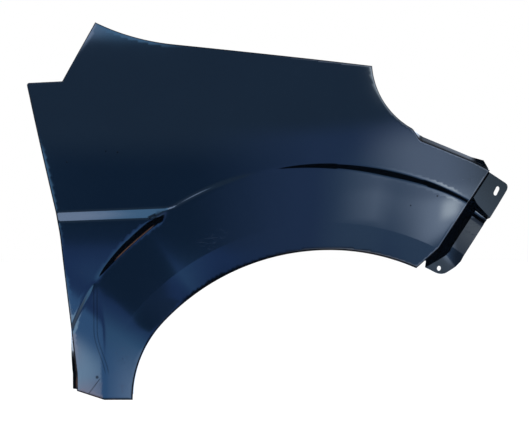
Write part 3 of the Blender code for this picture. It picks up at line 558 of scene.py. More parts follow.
LAMP_END = lamp_path.nearest(dip_high)
LEDGE_START = lamp_path.nearest(dip_low)
LEDGE_BEND = lamp_path.nearest(ledge_bend)
LEDGE_TIP = lamp_path.length - LEDGE_RUNOUT
LEDGE_ANGLE = math.atan2(LEDGE_DEPTH, min(LEDGE_RISES))
LEDGE_OUT = left_of((ledge_bend - dip_low) / np.linalg.norm(ledge_bend - dip_low))
WALL_ANGLE = math.atan2(WALL_DEPTH, WALL_RUN)
SPLAY_TOP = HEEL_HEIGHT + DOOR_SPLAY_HEIGHT
CHIN_BEND = front_path.nearest(chin)
STRIP_END = front_path.length - CHIN_CLEAR
STRIP_MARKS = (POCKET_GAP / 2, CHIN_BEND, STRIP_END)
TAB_END = nose_path.length - POCKET_GAP / 2
TAB_MARKS = (0.0, TAB_END)
NECK_MARKS = (0.0, TAB_END - NECK_CUT, TAB_END)


def lamp_fold(distance):
    return blend(distance, (LAMP_END, LEDGE_START), (SQUARE_FOLD, LEDGE_ANGLE))


def lamp_move(column):
    """Headlamp return, which becomes a seat leaning over the edge and runs out at the nose."""
    marks = (LAMP_END, LEDGE_START, LEDGE_BEND, LEDGE_TIP, lamp_path.length)
    rise = blend(column.distance, marks, (0.0, *LEDGE_RISES, 0.0))
    depth = blend(column.distance, marks, (LAMP_RETURN, *[LEDGE_DEPTH] * 3, LEDGE_NOSE_DEPTH))
    across = rise * LEDGE_OUT
    return across @ column.outward, depth, across @ -left_of(column.outward)


def steady(out, depth):
    """A move that is the same all along an edge."""
    return lambda column: (out, depth)


def sill_move(column):
    """Bolting tab under the leg, with rounded corners."""
    inset = min(column.distance, sill_path.length - column.distance) - RELIEF
    return 0.0, SILL_TAB_DEPTH - corner_loss(inset)


def door_move(column):
    """Door-edge return, splayed back at the leg."""
    share = 1 - smooth(column.distance, (HEEL_HEIGHT, SPLAY_TOP))
    return DOOR_SPLAY * share, RETURN_DEPTH


def hinge_reach(place):
    """Hinge-pillar tab, turned forward under the skin, with rounded corners."""
    def move(column):
        inset = min(column.distance - place, place + HINGE_TAB_LENGTH - column.distance)
        return corner_loss(inset) - HINGE_TAB_REACH, 0.0
    return move


def lean(column, marks, angles):
    """Slant of a tab or strip at a column, as a share of its width; its ends need not be square."""
    return math.tan(blend(column.distance, marks, angles))


def joggle_move(column):
    """First step down from the front edge, the same under the nose tab and the strip."""
    return JOGGLE, JOGGLE * math.tan(WALL_ANGLE)


def wall_move(column):
    """Wall down to the bumper strip, which gets shallower past the chin bend."""
    share = blend(column.distance, (CHIN_BEND, STRIP_END), (1.0, WALL_END_SHARE))
    run = WALL_RUN * share - JOGGLE
    return run, run * math.tan(WALL_ANGLE), WALL_RUN * share * lean(column, STRIP_MARKS, WALL_LEANS)


def strip_move(column):
    """Strip that the bumper's edge lies on."""
    width = blend(column.distance, STRIP_MARKS, STRIP_WIDTHS)
    width -= corner_loss(STRIP_END - column.distance, CHIN_CORNER)
    return width, width * STRIP_SLOPE, width * lean(column, STRIP_MARKS, STRIP_LEANS)


def neck_move(column):
    """Nose tab where it starts, cut back at its lower end."""
    return NECK, NECK * TAB_SLOPE, NECK * lean(column, NECK_MARKS, NECK_LEANS)


def tab_move(column):
    """Rest of the nose tab, which bolts to the bumper's bracket."""
    width = blend(column.distance, TAB_MARKS, TAB_WIDTHS) - JOGGLE - NECK
    width -= corner_loss(column.distance - END_GAP, NOSE_CORNER)
    return width, width * TAB_SLOPE, width * lean(column, TAB_MARKS, TAB_LEANS)


def door_stops():
    """Stops on the door edge: crease, swage, splay and hinge tabs."""
    crossings = [crease_foot, heel_top, swage_across(door_path, 0.0), swage_across(door_path, SWAGE_HEIGHT)]
    tabs = [s for place in hinge_places for s in rounded_stops(place, place + HINGE_TAB_LENGTH)]
    return [END_GAP, door_path.length - RELIEF, SPLAY_TOP, *tabs,
            *(door_path.nearest(point) for point in crossings)]


def crease_stops():
    """Stops on the front edge where the lines of the crease's step end."""
    return [front_path.nearest(beside_crease(CREASE_FRONT_ANGLE, *mark)) for mark in PRESS_LINES]


RAIL_MOVES = [steady(0.0, RAIL_WALL), steady(-RAIL_DROP, 0.0), steady(0.0, RAIL_WIDTH)]
LIP_MOVE = steady(0.0, LIP_DEPTH)
TAB_MOVES = [joggle_move, neck_move, tab_move]
STRIP_MOVES = [joggle_move, wall_move, strip_move]

bonnet_edge = Edge("bonnet", bonnet_path)
lamp_edge = Edge("lamp", lamp_path, lamp_fold, [
    RELIEF, LAMP_END, LEDGE_START, LEDGE_BEND, LEDGE_TIP, lamp_path.length - END_GAP,
])
nose_edge = Edge("nose", nose_path, WALL_ANGLE, [
    *(END_GAP + NOSE_CORNER * s for s in CORNER_SHARES), TAB_END - NECK_CUT, TAB_END,
])
front_edge = Edge("front", front_path, WALL_ANGLE, [
    POCKET_GAP / 2, *crease_stops(), CHIN_BEND, *(STRIP_END - CHIN_CORNER * s for s in CORNER_SHARES),
])
arch_edge = Edge("arch", arch_path)
sill_edge = Edge("sill", sill_path, stops=rounded_stops(RELIEF, sill_path.length - RELIEF))
heel_edge = Edge("heel", heel_path)
door_edge = Edge("door", door_path, stops=door_stops())
notch_edge = Edge("notch", notch_path)
pillar_edge = Edge("pillar", pillar_path)
EDGES = [bonnet_edge, lamp_edge, nose_edge, front_edge, arch_edge,
         sill_edge, heel_edge, door_edge, notch_edge, pillar_edge]


def build_loop(pitch):
    """Columns right round the trim line, clockwise as seen from outside."""
    loop = []
    for last, edge in zip([EDGES[-1], *EDGES[:-1]], EDGES):
        loop.append(corner_column(last, edge))
        loop.extend(edge.columns(pitch))
    return loop


def crease_crossing(drop):
    """Angle at which a line of the swage meets the crease, on its way down to the door."""
    angles = np.linspace(CREASE_FRONT_ANGLE, FOOT_ANGLE, CREASE_SAMPLES)
    points = np.array([crease_point(a) for a in angles])
    heights = points[:, 1] - swage_line(points[:, 0], drop)
    rear = int(np.nonzero((heights[:-1] > 0) & (heights[1:] <= 0))[0][-1])
    share = heights[rear] / (heights[rear] - heights[rear + 1])
    return angles[rear] + share * (angles[rear + 1] - angles[rear])


def crease_angles(pitch, stops):
    """Angles along the crease about a pitch apart, through its stops."""
    marks = sorted([CREASE_FRONT_ANGLE, CREASE_TURN_ANGLE, FOOT_ANGLE, *stops])
    found = []
    for low, high in zip(marks, marks[1:]):
        radius = CREASE_RADIUS if high <= CREASE_TURN_ANGLE else REAR_RADIUS
        count = max(1, round((high - low) * radius / pitch))
        found.extend(low + (high - low) * i / count for i in range(count))
    return found + [FOOT_ANGLE]


def feature_lines(pitch):
    """Lines of the crease's step and the swage, as chains of points."""
    drops = [share * SWAGE_HEIGHT + radii * PRESS_RADIUS for share, radii in SWAGE_LINES]
    crossings = [crease_crossing(drop) for drop in drops]
    angles = crease_angles(pitch, crossings)
    lines = [[crease_point(a) for a in angles]]
    lines.extend([beside_crease(a, *mark) for a in angles[:-1]] for mark in PRESS_LINES if any(mark))
    for drop, angle in zip(drops, crossings):
        path = Path([swage_across(door_path, drop), crease_point(angle)])
        lines.append([path.at(d) for d in path.stations(pitch)])
    return lines


def snapped(line, loop):
    """The line with each end that lies by the trim line put on the nearest column."""
    points = np.array([c.point for c in loop])
    line = [np.asarray(p) for p in line]
    for end in (0, -1):
        gaps = np.linalg.norm(points - line[end], axis=1)
        if gaps.min() < 2 * FOLD_RADIUS:
            line[end] = points[int(np.argmin(gaps))]
    return line


def inside_outline(points, outline):
    """Which points lie inside a closed outline."""
    result = np.zeros(len(points), dtype=bool)
    for start, end in zip(outline, np.roll(outline, -1, axis=0)):
        if start[1] == end[1]:
            continue
        straddles = (start[1] > points[:, 1]) != (end[1] > points[:, 1])
        share = (points[:, 1] - start[1]) / (end[1] - start[1])
        result ^= straddles & (points[:, 0] < start[0] + share * (end[0] - start[0]))
    return result


def distance_to_chain(points, chain):
    """Distance of each point from a chain of straight pieces."""
    nearest = np.full(len(points), np.inf)
    for start, end in zip(chain, chain[1:]):
        span = end - start
        share = np.clip((points - start) @ span / (span @ span), 0.0, 1.0)
        gap = np.linalg.norm(points - start - share[:, None] * span, axis=1)
        nearest = np.minimum(nearest, gap)
    return nearest


def lattice(outline, lines, pitch):
    """Evenly spaced points inside the outline, clear of every line."""
    low, high = outline.min(axis=0), outline.max(axis=0)
    row_gap = pitch * math.sqrt(3) / 2
    rows = math.ceil((high[1] - low[1]) / row_gap)
    across = math.ceil((high[0] - low[0]) / pitch)
    points = np.array([(low[0] + pitch * (i + row % 2 / 2), low[1] + row_gap * row)
                       for row in range(rows) for i in range(across)])
    points = points[inside_outline(points, outline)]
    for chain in [[*outline, outline[0]], *lines]:
        points = points[distance_to_chain(points, chain) > CLEAR_OF_LINES * pitch]
    return points


class Sheet:
    """The open outer surface of the pressing while it is being formed."""

    def __init__(self, pitch):
        self.loop = build_loop(pitch)
        outline = np.array([c.point for c in self.loop])
        lines = [snapped(line, self.loop) for line in feature_lines(pitch)]
        points = [Vector(p) for p in outline]
        links = [(i, (i + 1) % len(outline)) for i in range(len(outline))]
        for line in lines:
            links.extend((len(points) + i, len(points) + i + 1) for i in range(len(line) - 1))
            points.extend(Vector(p) for p in line)
        points.extend(Vector(p) for p in lattice(outline, lines, pitch))
        flat, _, faces, sources, _, _ = delaunay_2d_cdt(points, links, [], INSIDE_ONLY, WELD)
        where = {source: i for i, given in enumerate(sources) for source in given}
        self.verts = [np.array([p.x, float(form(p.x, p.y)), p.y]) for p in flat]
        self.faces = [tuple(f) for f in faces]
        self.row = [where[i] for i in range(len(self.loop))]
        self.rim = self.row
        self.skin_count = len(self.verts)
        self.folded = []

    def add(self, positions):
        self.verts.extend(positions)
        return list(range(len(self.verts) - len(positions), len(self.verts)))

    def join(self, lower, upper):
        """Faces between two rows of the same length."""
        for i in range(len(lower) - 1):
            self.faces.append((lower[i], lower[i + 1], upper[i + 1], upper[i]))

    def roll_edges(self, steps):
        """Roll the whole trim line inboard."""
        for step in range(1, steps + 1):
            new = self.add([c.rolled(step / steps) for c in self.loop])
            self.join([*self.row, self.row[0]], [*new, new[0]])
            self.row = new
            self.folded.extend(new)

    def select(self, edge, low, high):
        """Places in the loop on one edge between two distances."""
        return [i for i, c in enumerate(self.loop)
                if c.edge == edge.name and low - WELD <= c.distance <= high + WELD]

    def flange(self, places, moves, row=None):
        """Grow a flange, from the rolled edge or from a given row, and give back its rows."""
        row = [self.row[i] for i in places] if row is None else row
        rows = []
        for move in moves:
            columns = [self.loop[i] for i in places]
            new = self.add([c.step(self.verts[v], *move(c)) for c, v in zip(columns, row)])
            self.join(row, new)
            row = new
            rows.append(new)
        return rows

    def close_step(self, upper, upper_rows, lower, lower_rows):
        """Side wall between the end of one flange and the start of the next, deeper one."""
        ends = [row[-1] for row in upper_rows]
        starts = [row[0] for row in lower_rows]
        root = [self.row[i] for i in range(upper[-1], lower[0] + 1)]
        self.faces.append((ends[0], *root, starts[0]))
        for i in range(len(ends) - 1):
            self.faces.append((ends[i + 1], ends[i], starts[i]))
            self.faces.append((ends[i + 1], starts[i], starts[i + 1]))

    def level(self, row, depth):
        """Carry a row straight inboard to one flat depth."""
        new = self.add([np.array([self.verts[v][0], depth, self.verts[v][2]]) for v in row])
        self.join(row, new)
        return new


def add_flanges(sheet):
    """Every folded flange of the panel."""
    whole = [
        (bonnet_edge, RELIEF, RAIL_MOVES),
        (lamp_edge, END_GAP, [lamp_move]),
        (arch_edge, RELIEF, [LIP_MOVE]),
        (sill_edge, RELIEF, [sill_move]),
        (heel_edge, RELIEF, [steady(0.0, RETURN_DEPTH)]),
        (notch_edge, RELIEF, [steady(0.0, RETURN_DEPTH)]),
        (pillar_edge, RELIEF, [steady(0.0, LAMP_RETURN)]),
    ]
    for edge, end_clear, moves in whole:
        sheet.flange(sheet.select(edge, RELIEF, edge.path.length - end_clear), moves)
    tab = sheet.select(nose_edge, 0.0, TAB_END)
    strip = sheet.select(front_edge, POCKET_GAP / 2, STRIP_END)
    tab_rows = sheet.flange(tab, TAB_MOVES)
    strip_rows = sheet.flange(strip, STRIP_MOVES)
    sheet.close_step(tab, tab_rows, strip, strip_rows)

    door = sheet.select(door_edge, END_GAP, door_path.length - RELIEF)
    wall_end = dict(zip(door, sheet.flange(door, [door_move])[-1]))
    for place in hinge_places:
        ear = sheet.select(door_edge, place, place + HINGE_TAB_LENGTH)
        ear_root = sheet.level([wall_end[i] for i in ear], HINGE_FACE_DEPTH)
        sheet.flange(ear, [hinge_reach(place)], ear_root)


# Holes: centre, axis, diameter, and for a slot its length and direction

def place_on(edge, distance, moves, last_share):
    """Place reached from the rolled edge by a flange's moves, of which the last counts by a share."""
    column = edge.column(distance)
    position = column.rolled()
    for share, move in zip([1.0] * (len(moves) - 1) + [last_share], moves):
        position = column.step(position, *(share * size for size in move(column)))
    return position, column


def flat_normal(column, slope):
    """Normal of a flange that rises inboard by a slope as it goes outward."""
    normal = INBOARD - slope * column.side
    return normal / np.linalg.norm(normal)


def rail_place(share):
    """Middle of the rail's bolting face at a share of its length, and its outward direction."""
    position, column = place_on(bonnet_edge, share * bonnet_path.length, RAIL_MOVES, MIDDLE)
    return position, column.side


def hinge_place(place):
    """Middle of a hinge-pillar tab."""
    middle = place + HINGE_TAB_LENGTH / 2
    position, _ = place_on(door_edge, middle, [door_move, hinge_reach(place)], MIDDLE)
    position[1] = HINGE_FACE_DEPTH
    return position


def holes():
    """Every pierced hole."""
    for share in RAIL_HOLE_SHARES:
        yield (*rail_place(share), RAIL_HOLE_DIAMETER)
    for place in hinge_places:
        yield hinge_place(place), INBOARD, HINGE_HOLE_DIAMETER
    sill, column = place_on(sill_edge, sill_path.length / 2, [sill_move], SILL_HOLE_SHARE)
    yield sill, column.side, SILL_HOLE_DIAMETER
    for angle in LINER_HOLE_ANGLES:
        distance = arch_path.nearest(ARCH_RADIUS * heading(angle))
        place, column = place_on(arch_edge, distance, [LIP_MOVE], MIDDLE)
        yield place, column.side, LINER_HOLE_DIAMETER
    end, column = place_on(front_edge, STRIP_END - CHIN_HOLE_INSET, STRIP_MOVES, MIDDLE)
    yield end, flat_normal(column, STRIP_SLOPE), CHIN_HOLE_DIAMETER
    slot, column = place_on(nose_edge, TAB_SLOT_PLACE, TAB_MOVES, TAB_SLOT_SHARE)
    run = np.array([column.outward[1], 0.0, -column.outward[0]])
    yield slot, flat_normal(column, TAB_SLOPE), TAB_SLOT_DIAMETER, TAB_SLOT_LENGTH, run


# The panel as a mesh

def punch_mesh(diameter, length):
    """Cylinder for a hole; for a slot, pulled apart along its X axis."""
    mesh = bpy.data.meshes.new("punch")
    shape = bmesh.new()
    turn = Matrix.Rotation(math.pi / HOLE_SIDES, 4, "Z")
    bmesh.ops.create_cone(shape, cap_ends=True, segments=HOLE_SIDES, radius1=diameter / 2,
                          radius2=diameter / 2, depth=PUNCH_LENGTH, matrix=turn)
    for vert in shape.verts:
        vert.co.x += math.copysign(max(length - diameter, 0.0) / 2, vert.co.x)
    shape.to_mesh(mesh)
    shape.free()
    return mesh


def punches(origin):
    """A collection with the cutter of every hole."""
    cutters = bpy.data.collections.new("cutters")
    for centre, axis, diameter, *slot in holes():
        length, run = slot if slot else (0.0, Vector(axis).orthogonal())
        z_axis = Vector(axis).normalized()
        x_axis = (Vector(run) - z_axis * Vector(run).dot(z_axis)).normalized()
        turn = Matrix((x_axis, z_axis.cross(x_axis), z_axis)).transposed().to_4x4()
        punch = bpy.data.objects.new("punch", punch_mesh(diameter, length))
        punch.matrix_world = Matrix.Translation(Vector(centre - origin)) @ turn
        cutters.objects.link(punch)
    return cutters


def sheet_mesh(sheet, origin):
    """The open sheet, marked with its folds, its skin and the way from each vertex to the crease."""
    mesh = bpy.data.meshes.new("skin")
    mesh.from_pydata([tuple(v - origin) for v in sheet.verts], [], sheet.faces)
    mesh.shade_smooth()
    mesh.set_sharp_from_angle(angle=SHARP_ANGLE)
    x, _, z = np.array(sheet.verts).T
    fold = np.zeros(len(x))
    fold[sheet.rim] = RIM_MARK
    fold[sheet.folded] = 1.0
    marks = {
        "fold": fold,
        "skin": np.arange(len(x)) < sheet.skin_count,
        "crease": crease_depth(x, z) - step_width(np.arctan2(z, x), x, z),
    }
    for name, values in marks.items():
        attribute = mesh.attributes.new(name, "FLOAT", "POINT")
        attribute.data.foreach_set("value", values.astype(np.float32))
    return mesh


def pressed_panel(material):
    """The whole pressing: folded sheet, thickened to its gauge and pierced."""
    origin, _ = rail_place(RAIL_ORIGIN_SHARE)
    sheet = Sheet(PITCH)
    sheet.roll_edges(FOLD_STEPS)
    add_flanges(sheet)
    panel = bpy.data.objects.new("skin", sheet_mesh(sheet, origin))
    panel.data.materials.append(material)
    bpy.context.scene.collection.objects.link(panel)
    cutters = punches(origin)
    bpy.context.scene.collection.children.link(cutters)
    thicken = panel.modifiers.new("gauge", "SOLIDIFY")
    thicken.thickness = GAUGE
    thicken.offset = -1.0
    thicken.use_even_offset = True
    pierce = panel.modifiers.new("pierce", "BOOLEAN")
    pierce.operand_type = "COLLECTION"
    pierce.collection = cutters
    pierce.solver = "EXACT"
    shaped = panel.evaluated_get(bpy.context.evaluated_depsgraph_get())
    finished = bpy.data.meshes.new_from_object(shaped)
    finished.set_sharp_from_angle(angle=SHARP_ANGLE)
    panel.modifiers.clear()
    panel.data = finished
    for punch in list(cutters.objects):
        bpy.data.objects.remove(punch, do_unlink=True)
    bpy.data.collections.remove(cutters)
    return panel


# Shader building

def adds(operation):
    """Method of a value that adds one Math node."""
    def method(value, *others):
        return value.nodes.add("ShaderNodeMath", {"operation": operation}, (value, *others))
    return method


class Value:
    """A socket in a node tree that works like a number."""

    __add__ = __radd__ = adds("ADD")
    __sub__ = adds("SUBTRACT")
    __mul__ = __rmul__ = adds("MULTIPLY")
    __pow__ = adds("POWER")
    at_most = adds("MINIMUM")
    at_least = adds("MAXIMUM")
    above = adds("GREATER_THAN")
    size = adds("ABSOLUTE")
    arcsine = adds("ARCSINE")
    arctangent = adds("ARCTAN2")

    def __init__(self, nodes, socket):
        self.nodes = nodes
        self.socket = socket

    def __rsub__(self, other):
        return self * -1.0 + other

    def eased(self, low, high):
        """Smooth step from 0 at low to 1 at high."""
        return self.nodes.add("ShaderNodeMapRange", {"interpolation_type": "SMOOTHSTEP"},
                              (self, low, high, 0.0, 1.0))

    def faded(self, low, high):
        """Smooth step from 1 at low to 0 at high."""
        return 1.0 - self.eased(low, high)

    def within(self, low, high, soft):
        """1 between two limits, easing off over a soft distance outside them."""
        return self.eased(low - soft, low) * self.faded(high, high + soft)


class Nodes:
    """A node tree and the one way its nodes are made."""

    def __init__(self, tree):
        self.tree = tree
        tree.nodes.clear()

    def add(self, kind, settings=None, inputs=(), output=0):
        """A new node. Its inputs are numbers, colours or values, by place or by name."""
        node = self.tree.nodes.new(kind)
        for name, setting in (settings or {}).items():
            setattr(node, name, setting)
        given = inputs.items() if isinstance(inputs, dict) else enumerate(inputs)
        for place, value in given:
            socket = node.inputs[place]
            if isinstance(value, Value):
                self.tree.links.new(value.socket, socket)
            else:
                socket.default_value = value
        return Value(self, node.outputs[output] if node.outputs else None)

    def parts(self, vector):
        """The three numbers of a vector."""
        return [self.add("ShaderNodeSeparateXYZ", {}, (vector,), axis) for axis in range(3)]

    def mixed(self, factor, first, second):
        """Colour between two others."""
        return self.add("ShaderNodeMix", {"data_type": "RGBA"}, {0: factor, 6: first, 7: second}, 2)

    def noise(self, place, scale, detail, roughness=0.5, stretch=(1.0, 1.0, 1.0)):
        """Noise from 0 to 1, in features per metre."""
        place = self.add("ShaderNodeVectorMath", {"operation": "MULTIPLY"}, (place, stretch))
        return self.add("ShaderNodeTexNoise", {}, {
            "Vector": place, "Scale": scale, "Detail": detail, "Roughness": roughness,
        })

    def specks(self, place, scale, radius, rarity):
        """Small dots, at most one in each cell, of which only the rarest few show."""
        inputs = {"Vector": place, "Scale": scale}
        distance = self.add("ShaderNodeTexVoronoi", {}, inputs)
        chance = self.parts(self.add("ShaderNodeTexVoronoi", {}, inputs, 1))[0]
        return distance.faded(radius / 2, radius) * chance.above(rarity)


def new_material(name):
    """A material and its empty node tree."""
    material = bpy.data.materials.new(name)
    material.use_nodes = True
    return material, Nodes(material.node_tree)


def rgb(red, green, blue):
    return (red, green, blue, 1.0)


# Glossy blue-black electrocoat. A noise has its features per metre, detail, roughness and stretch;
# the specks have their cells per metre, their radius in a cell and the share of cells left empty

COAT_DARK = rgb(0.0007, 0.0016, 0.0032)
COAT_BLUE = rgb(0.0011, 0.0025, 0.0048)
# Pale colour of the dust specks and scratches, also used for the painted highlight along the front rims
DUST_AND_HIGHLIGHT = rgb(0.16, 0.18, 0.22)
RUST_AND_CREASE_HIGHLIGHT = rgb(0.070, 0.030, 0.016)
COAT_IOR = 1.6
MATT_ROUGHNESS = 0.7
MATT_SPECULAR = 0.1
CLOUD = (5.0, 3.0)
CLOUD_TURN = (0.3, 0.7)
MOTTLE = (38.0, 3.0)
GRAIN = (420.0, 2.0)
SPECKS = (45.0, 0.030, 0.82)
SCRATCH = (20.0, 3.0, 0.5, (1.0, 1.0, 7.0))
SCRATCH_LEVEL = (0.499, 0.501, 0.003)
SCRATCH_PATCH = (11.0, 1.0)
SCRATCH_PATCH_LEVEL = (0.66, 0.74)

# How far dust and scratches whiten the coat, and how much each layer roughens it
SPECK_SHARE = 0.25
SCRATCH_SHARE = 0.10
BASE_ROUGHNESS = 0.06
ROUGHER_BY = {"cloud": 0.03, "mottle": 0.03, "dust": 0.3, "scratch": 0.2, "rust_and_crease_highlight": 0.4}

# Relief of the coat in metres, and the eased turn of the arch lip
ORANGE_PEEL = 0.000003
WAVE = 0.000010
DUST_HEIGHT = 0.00002
SCRATCH_DEPTH = 0.00002
ARCH_CENTRE = (0.0621, -0.7088)
LIP_RADIUS = 0.4356
LIP_SLOPE = 0.030
LIP_FADE = (-0.46, -0.40)

# Rust on folds near the sill and in patches above it; along the crease, a matt rust-coloured line painted
# in for the highlight at the fold
SILL_BAND = (-0.560, -0.500)
FOLD_WORN = (0.60, 1.0)
FOLD_PATCH = (0.40, 0.62)
FOLD_RUST = 0.1
FOLD_RUST_LOW = 0.8
SILL_PATCH = (0.60, 0.72)
SILL_RUST = 0.25
CREASE_HIGHLIGHT_LINE = (-0.0004, 0.0010, 0.0006)
CREASE_HIGHLIGHT_SPAN = (-0.2950, -0.2440, 0.010)

# Matt places: rubbed lines down the leg, strokes and pits, the film on the strip, and the rolled folds,
# made matt with little reflection as painted shade so they read dark
RUBBED_LINE = (-0.0004, 0.0004, 0.0010)
RUBBED_SHARE = 0.45
LEG_MARK_X = -0.3381
LEG_MARK_GAP = 0.0056
LEG_MARK_SHIFT = 0.0200
LEG_MARK_BEND = (-0.540, -0.456)
LEG_MARK_SPAN = (-0.522, -0.392, 0.012)
STROKE_CORE = 0.3
STROKE_EDGE = 0.7
PIT_CORE = 0.6
PIT_EDGE = 1.2
PIT_SHARE = 0.7
STRIP_DEPTH = (0.034, 0.044)
STRIP_TOP = (-0.266, -0.262)
STRIP_SHARE = 0.76
FOLD_SHADE = (0.60, 0.95)
FOLD_SHADE_SHARE = 0.85
CREASE_HIGHLIGHT_MATT = 0.8
MARKS = [
    ((-0.3290, -0.5395), (-0.3482, -0.5648), 0.0016, 0.6),
    ((-0.2437, -0.2640), (-0.2352, -0.2600), 0.0050, 0.9),
]
PITS = [
    ((-0.3333, -0.5361), 0.0030),
    ((-0.2990, -0.1530), 0.0018),
    ((-0.3190, -0.1513), 0.0015),
    ((0.2075, -0.2430), 0.0015),
    ((0.2560, -0.2262), 0.0018),
    ((-0.3850, -0.1700), 0.0016),
]

# Painted highlight: a pale line where the skin meets its rolled edge, at the front, standing in for the
# light the edge catches
SKIN_MARK = (0.95, 0.99)
RIM_LINE = (0.36, 0.50, 0.08)
HIGHLIGHT_FRONT_SPAN = (-0.05, 0.12)
HIGHLIGHT_BASE = 0.4
HIGHLIGHT_MOTTLE = 0.6
HIGHLIGHT_SHARE = 0.5


def stroke(x, z, start, end, width):
    """Straight line between two places in the side view."""
    run = Vector(end) - Vector(start)
    length = run.length
    run.normalize()
    x = x - start[0]
    z = z - start[1]
    beside = (x * run.y - z * run.x).size()
    along = x * run.x + z * run.y
    return beside.faded(width * STROKE_CORE, width * STROKE_EDGE) * along.within(0.0, length, width)


def distance_from(x, z, centre):
    """Distance from a place in the side view."""
    across = x - centre[0]
    up = z - centre[1]
    return (across * across + up * up) ** 0.5


def rubbed_places(x, z):
    """Two lines rubbed down the leg, short strokes and pits."""
    leg = x - LEG_MARK_X - z.faded(*LEG_MARK_BEND) * LEG_MARK_SHIFT
    rubbed = leg.within(*RUBBED_LINE) + (leg - LEG_MARK_GAP).within(*RUBBED_LINE)
    rubbed = rubbed * z.within(*LEG_MARK_SPAN) * RUBBED_SHARE
    for start, end, width, share in MARKS:
        rubbed = rubbed.at_least(stroke(x, z, start, end, width) * share)
    for centre, radius in PITS:
        pit = distance_from(x, z, centre).faded(radius * PIT_CORE, radius * PIT_EDGE)
        rubbed = rubbed.at_least(pit * PIT_SHARE)
    return rubbed


def electrocoat():
    """Glossy primer with orange peel, dust and scratches, and matt where it is worn; with a painted
    highlight line on the front rims, a rust-coloured line painted in for the crease's highlight, and rolled
    folds made matt and dark as painted shade.
    """
    material, nodes = new_material("coated_steel")
    place = nodes.add("ShaderNodeTexCoord", output="Object")
    x, y, z = nodes.parts(place)
    fold, skin, crease = [nodes.add("ShaderNodeAttribute", {"attribute_name": name}, output="Fac")
                          for name in ("fold", "skin", "crease")]
    cloud = nodes.noise(place, *CLOUD)
    mottle = nodes.noise(place, *MOTTLE)
    grain = nodes.noise(place, *GRAIN)
    dust = nodes.specks(place, *SPECKS)
    scratch = nodes.noise(place, *SCRATCH).within(*SCRATCH_LEVEL)
    scratch = scratch * nodes.noise(place, *SCRATCH_PATCH).eased(*SCRATCH_PATCH_LEVEL)

    low = z.faded(*SILL_BAND)
    # Line along the crease's lower edge, in rust colour and matt: a painted highlight for the fold there
    painted_crease_highlight = crease.within(*CREASE_HIGHLIGHT_LINE) * x.within(*CREASE_HIGHLIGHT_SPAN)
    rust_and_crease_highlight = (low * FOLD_RUST_LOW + FOLD_RUST) * fold.eased(*FOLD_WORN) * mottle.eased(*FOLD_PATCH)
    rust_and_crease_highlight = rust_and_crease_highlight + low * mottle.eased(*SILL_PATCH) * SILL_RUST + painted_crease_highlight
    film = y.eased(*STRIP_DEPTH) * z.faded(*STRIP_TOP) * STRIP_SHARE
    # Rolled folds made matt with little reflection: painted shade, so the edges read as dark outlines
    painted_fold_shade = fold.eased(*FOLD_SHADE) * FOLD_SHADE_SHARE
    dull = rubbed_places(x, z).at_least(film).at_least(painted_fold_shade).at_least(painted_crease_highlight * CREASE_HIGHLIGHT_MATT)

    colour = nodes.mixed(cloud.eased(*CLOUD_TURN), COAT_DARK, COAT_BLUE)
    colour = nodes.mixed(dust * SPECK_SHARE + scratch * SCRATCH_SHARE, colour, DUST_AND_HIGHLIGHT)
    # Painted highlight: a pale line just inside the rolled edges at the front, where the edge would catch
    # light
    painted_rim_highlight = skin.eased(*SKIN_MARK) * fold.within(*RIM_LINE) * x.eased(*HIGHLIGHT_FRONT_SPAN)
    colour = nodes.mixed(painted_rim_highlight * (mottle * HIGHLIGHT_MOTTLE + HIGHLIGHT_BASE) * HIGHLIGHT_SHARE, colour, DUST_AND_HIGHLIGHT)
    colour = nodes.mixed(rust_and_crease_highlight.at_most(1.0), colour, RUST_AND_CREASE_HIGHLIGHT)
    roughness = BASE_ROUGHNESS
    layers = {"cloud": cloud, "mottle": mottle, "dust": dust, "scratch": scratch, "rust_and_crease_highlight": rust_and_crease_highlight}
    for name, layer in layers.items():
        roughness = layer * ROUGHER_BY[name] + roughness
    height = grain * ORANGE_PEEL + mottle * WAVE + dust * DUST_HEIGHT - scratch * SCRATCH_DEPTH
    inside = (LIP_RADIUS - distance_from(x, z, ARCH_CENTRE)).at_least(0.0)
    height = height - inside * LIP_SLOPE * z.eased(*LIP_FADE)
    bump = nodes.add("ShaderNodeBump", {}, {"Strength": 1.0, "Distance": 1.0, "Height": height})
    gloss = nodes.add("ShaderNodeBsdfPrincipled", {}, {
        "Base Color": colour, "Roughness": roughness, "IOR": COAT_IOR, "Normal": bump,
    })
    matt = nodes.add("ShaderNodeBsdfPrincipled", {}, {
        "Base Color": nodes.mixed(rust_and_crease_highlight.at_most(1.0), COAT_DARK, RUST_AND_CREASE_HIGHLIGHT), "Roughness": MATT_ROUGHNESS,
        "Specular IOR Level": MATT_SPECULAR, "Normal": bump,
    })
    shader = nodes.add("ShaderNodeMixShader", {}, (dull, gloss, matt))
    nodes.add("ShaderNodeOutputMaterial", {}, (shader,))
    return material


panel = pressed_panel(electrocoat())
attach(panel, "root")
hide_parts("fender")


# Studio: white floor and background, and a tent of soft lights that only reflections see

WHITE = rgb(1.0, 1.0, 1.0)
SKY_LIGHT = rgb(0.90, 0.94, 1.0)
FLOOR_WHITE = rgb(0.94, 0.94, 0.94)
FLOOR_SIZE = 40.0
FLOOR_HEIGHT = -0.78
FLOOR_GLOW = 0.7
GLOW_STRENGTH = 1.1
KEY_PLACE = (-1.5, -2.5, 3.0)
KEY_TARGET = (0.0, 0.0, -0.3)
KEY_SIZE = 2.0
KEY_POWER = 60.0
CAMERA_ANGLE = math.radians(16.506)
CAMERA_PLACE = (-0.04844300, -3.20269128, -0.27195840)
CAMERA_TURN = (math.radians(90.0), 0.0, 0.0)
TENT_RADIUS = 12.0
TENT_CENTRE = (0.0, 0.0, -0.25)
TENT_SEGMENTS = 128
TENT_RINGS = 64
DEGREES = 180.0 / math.pi

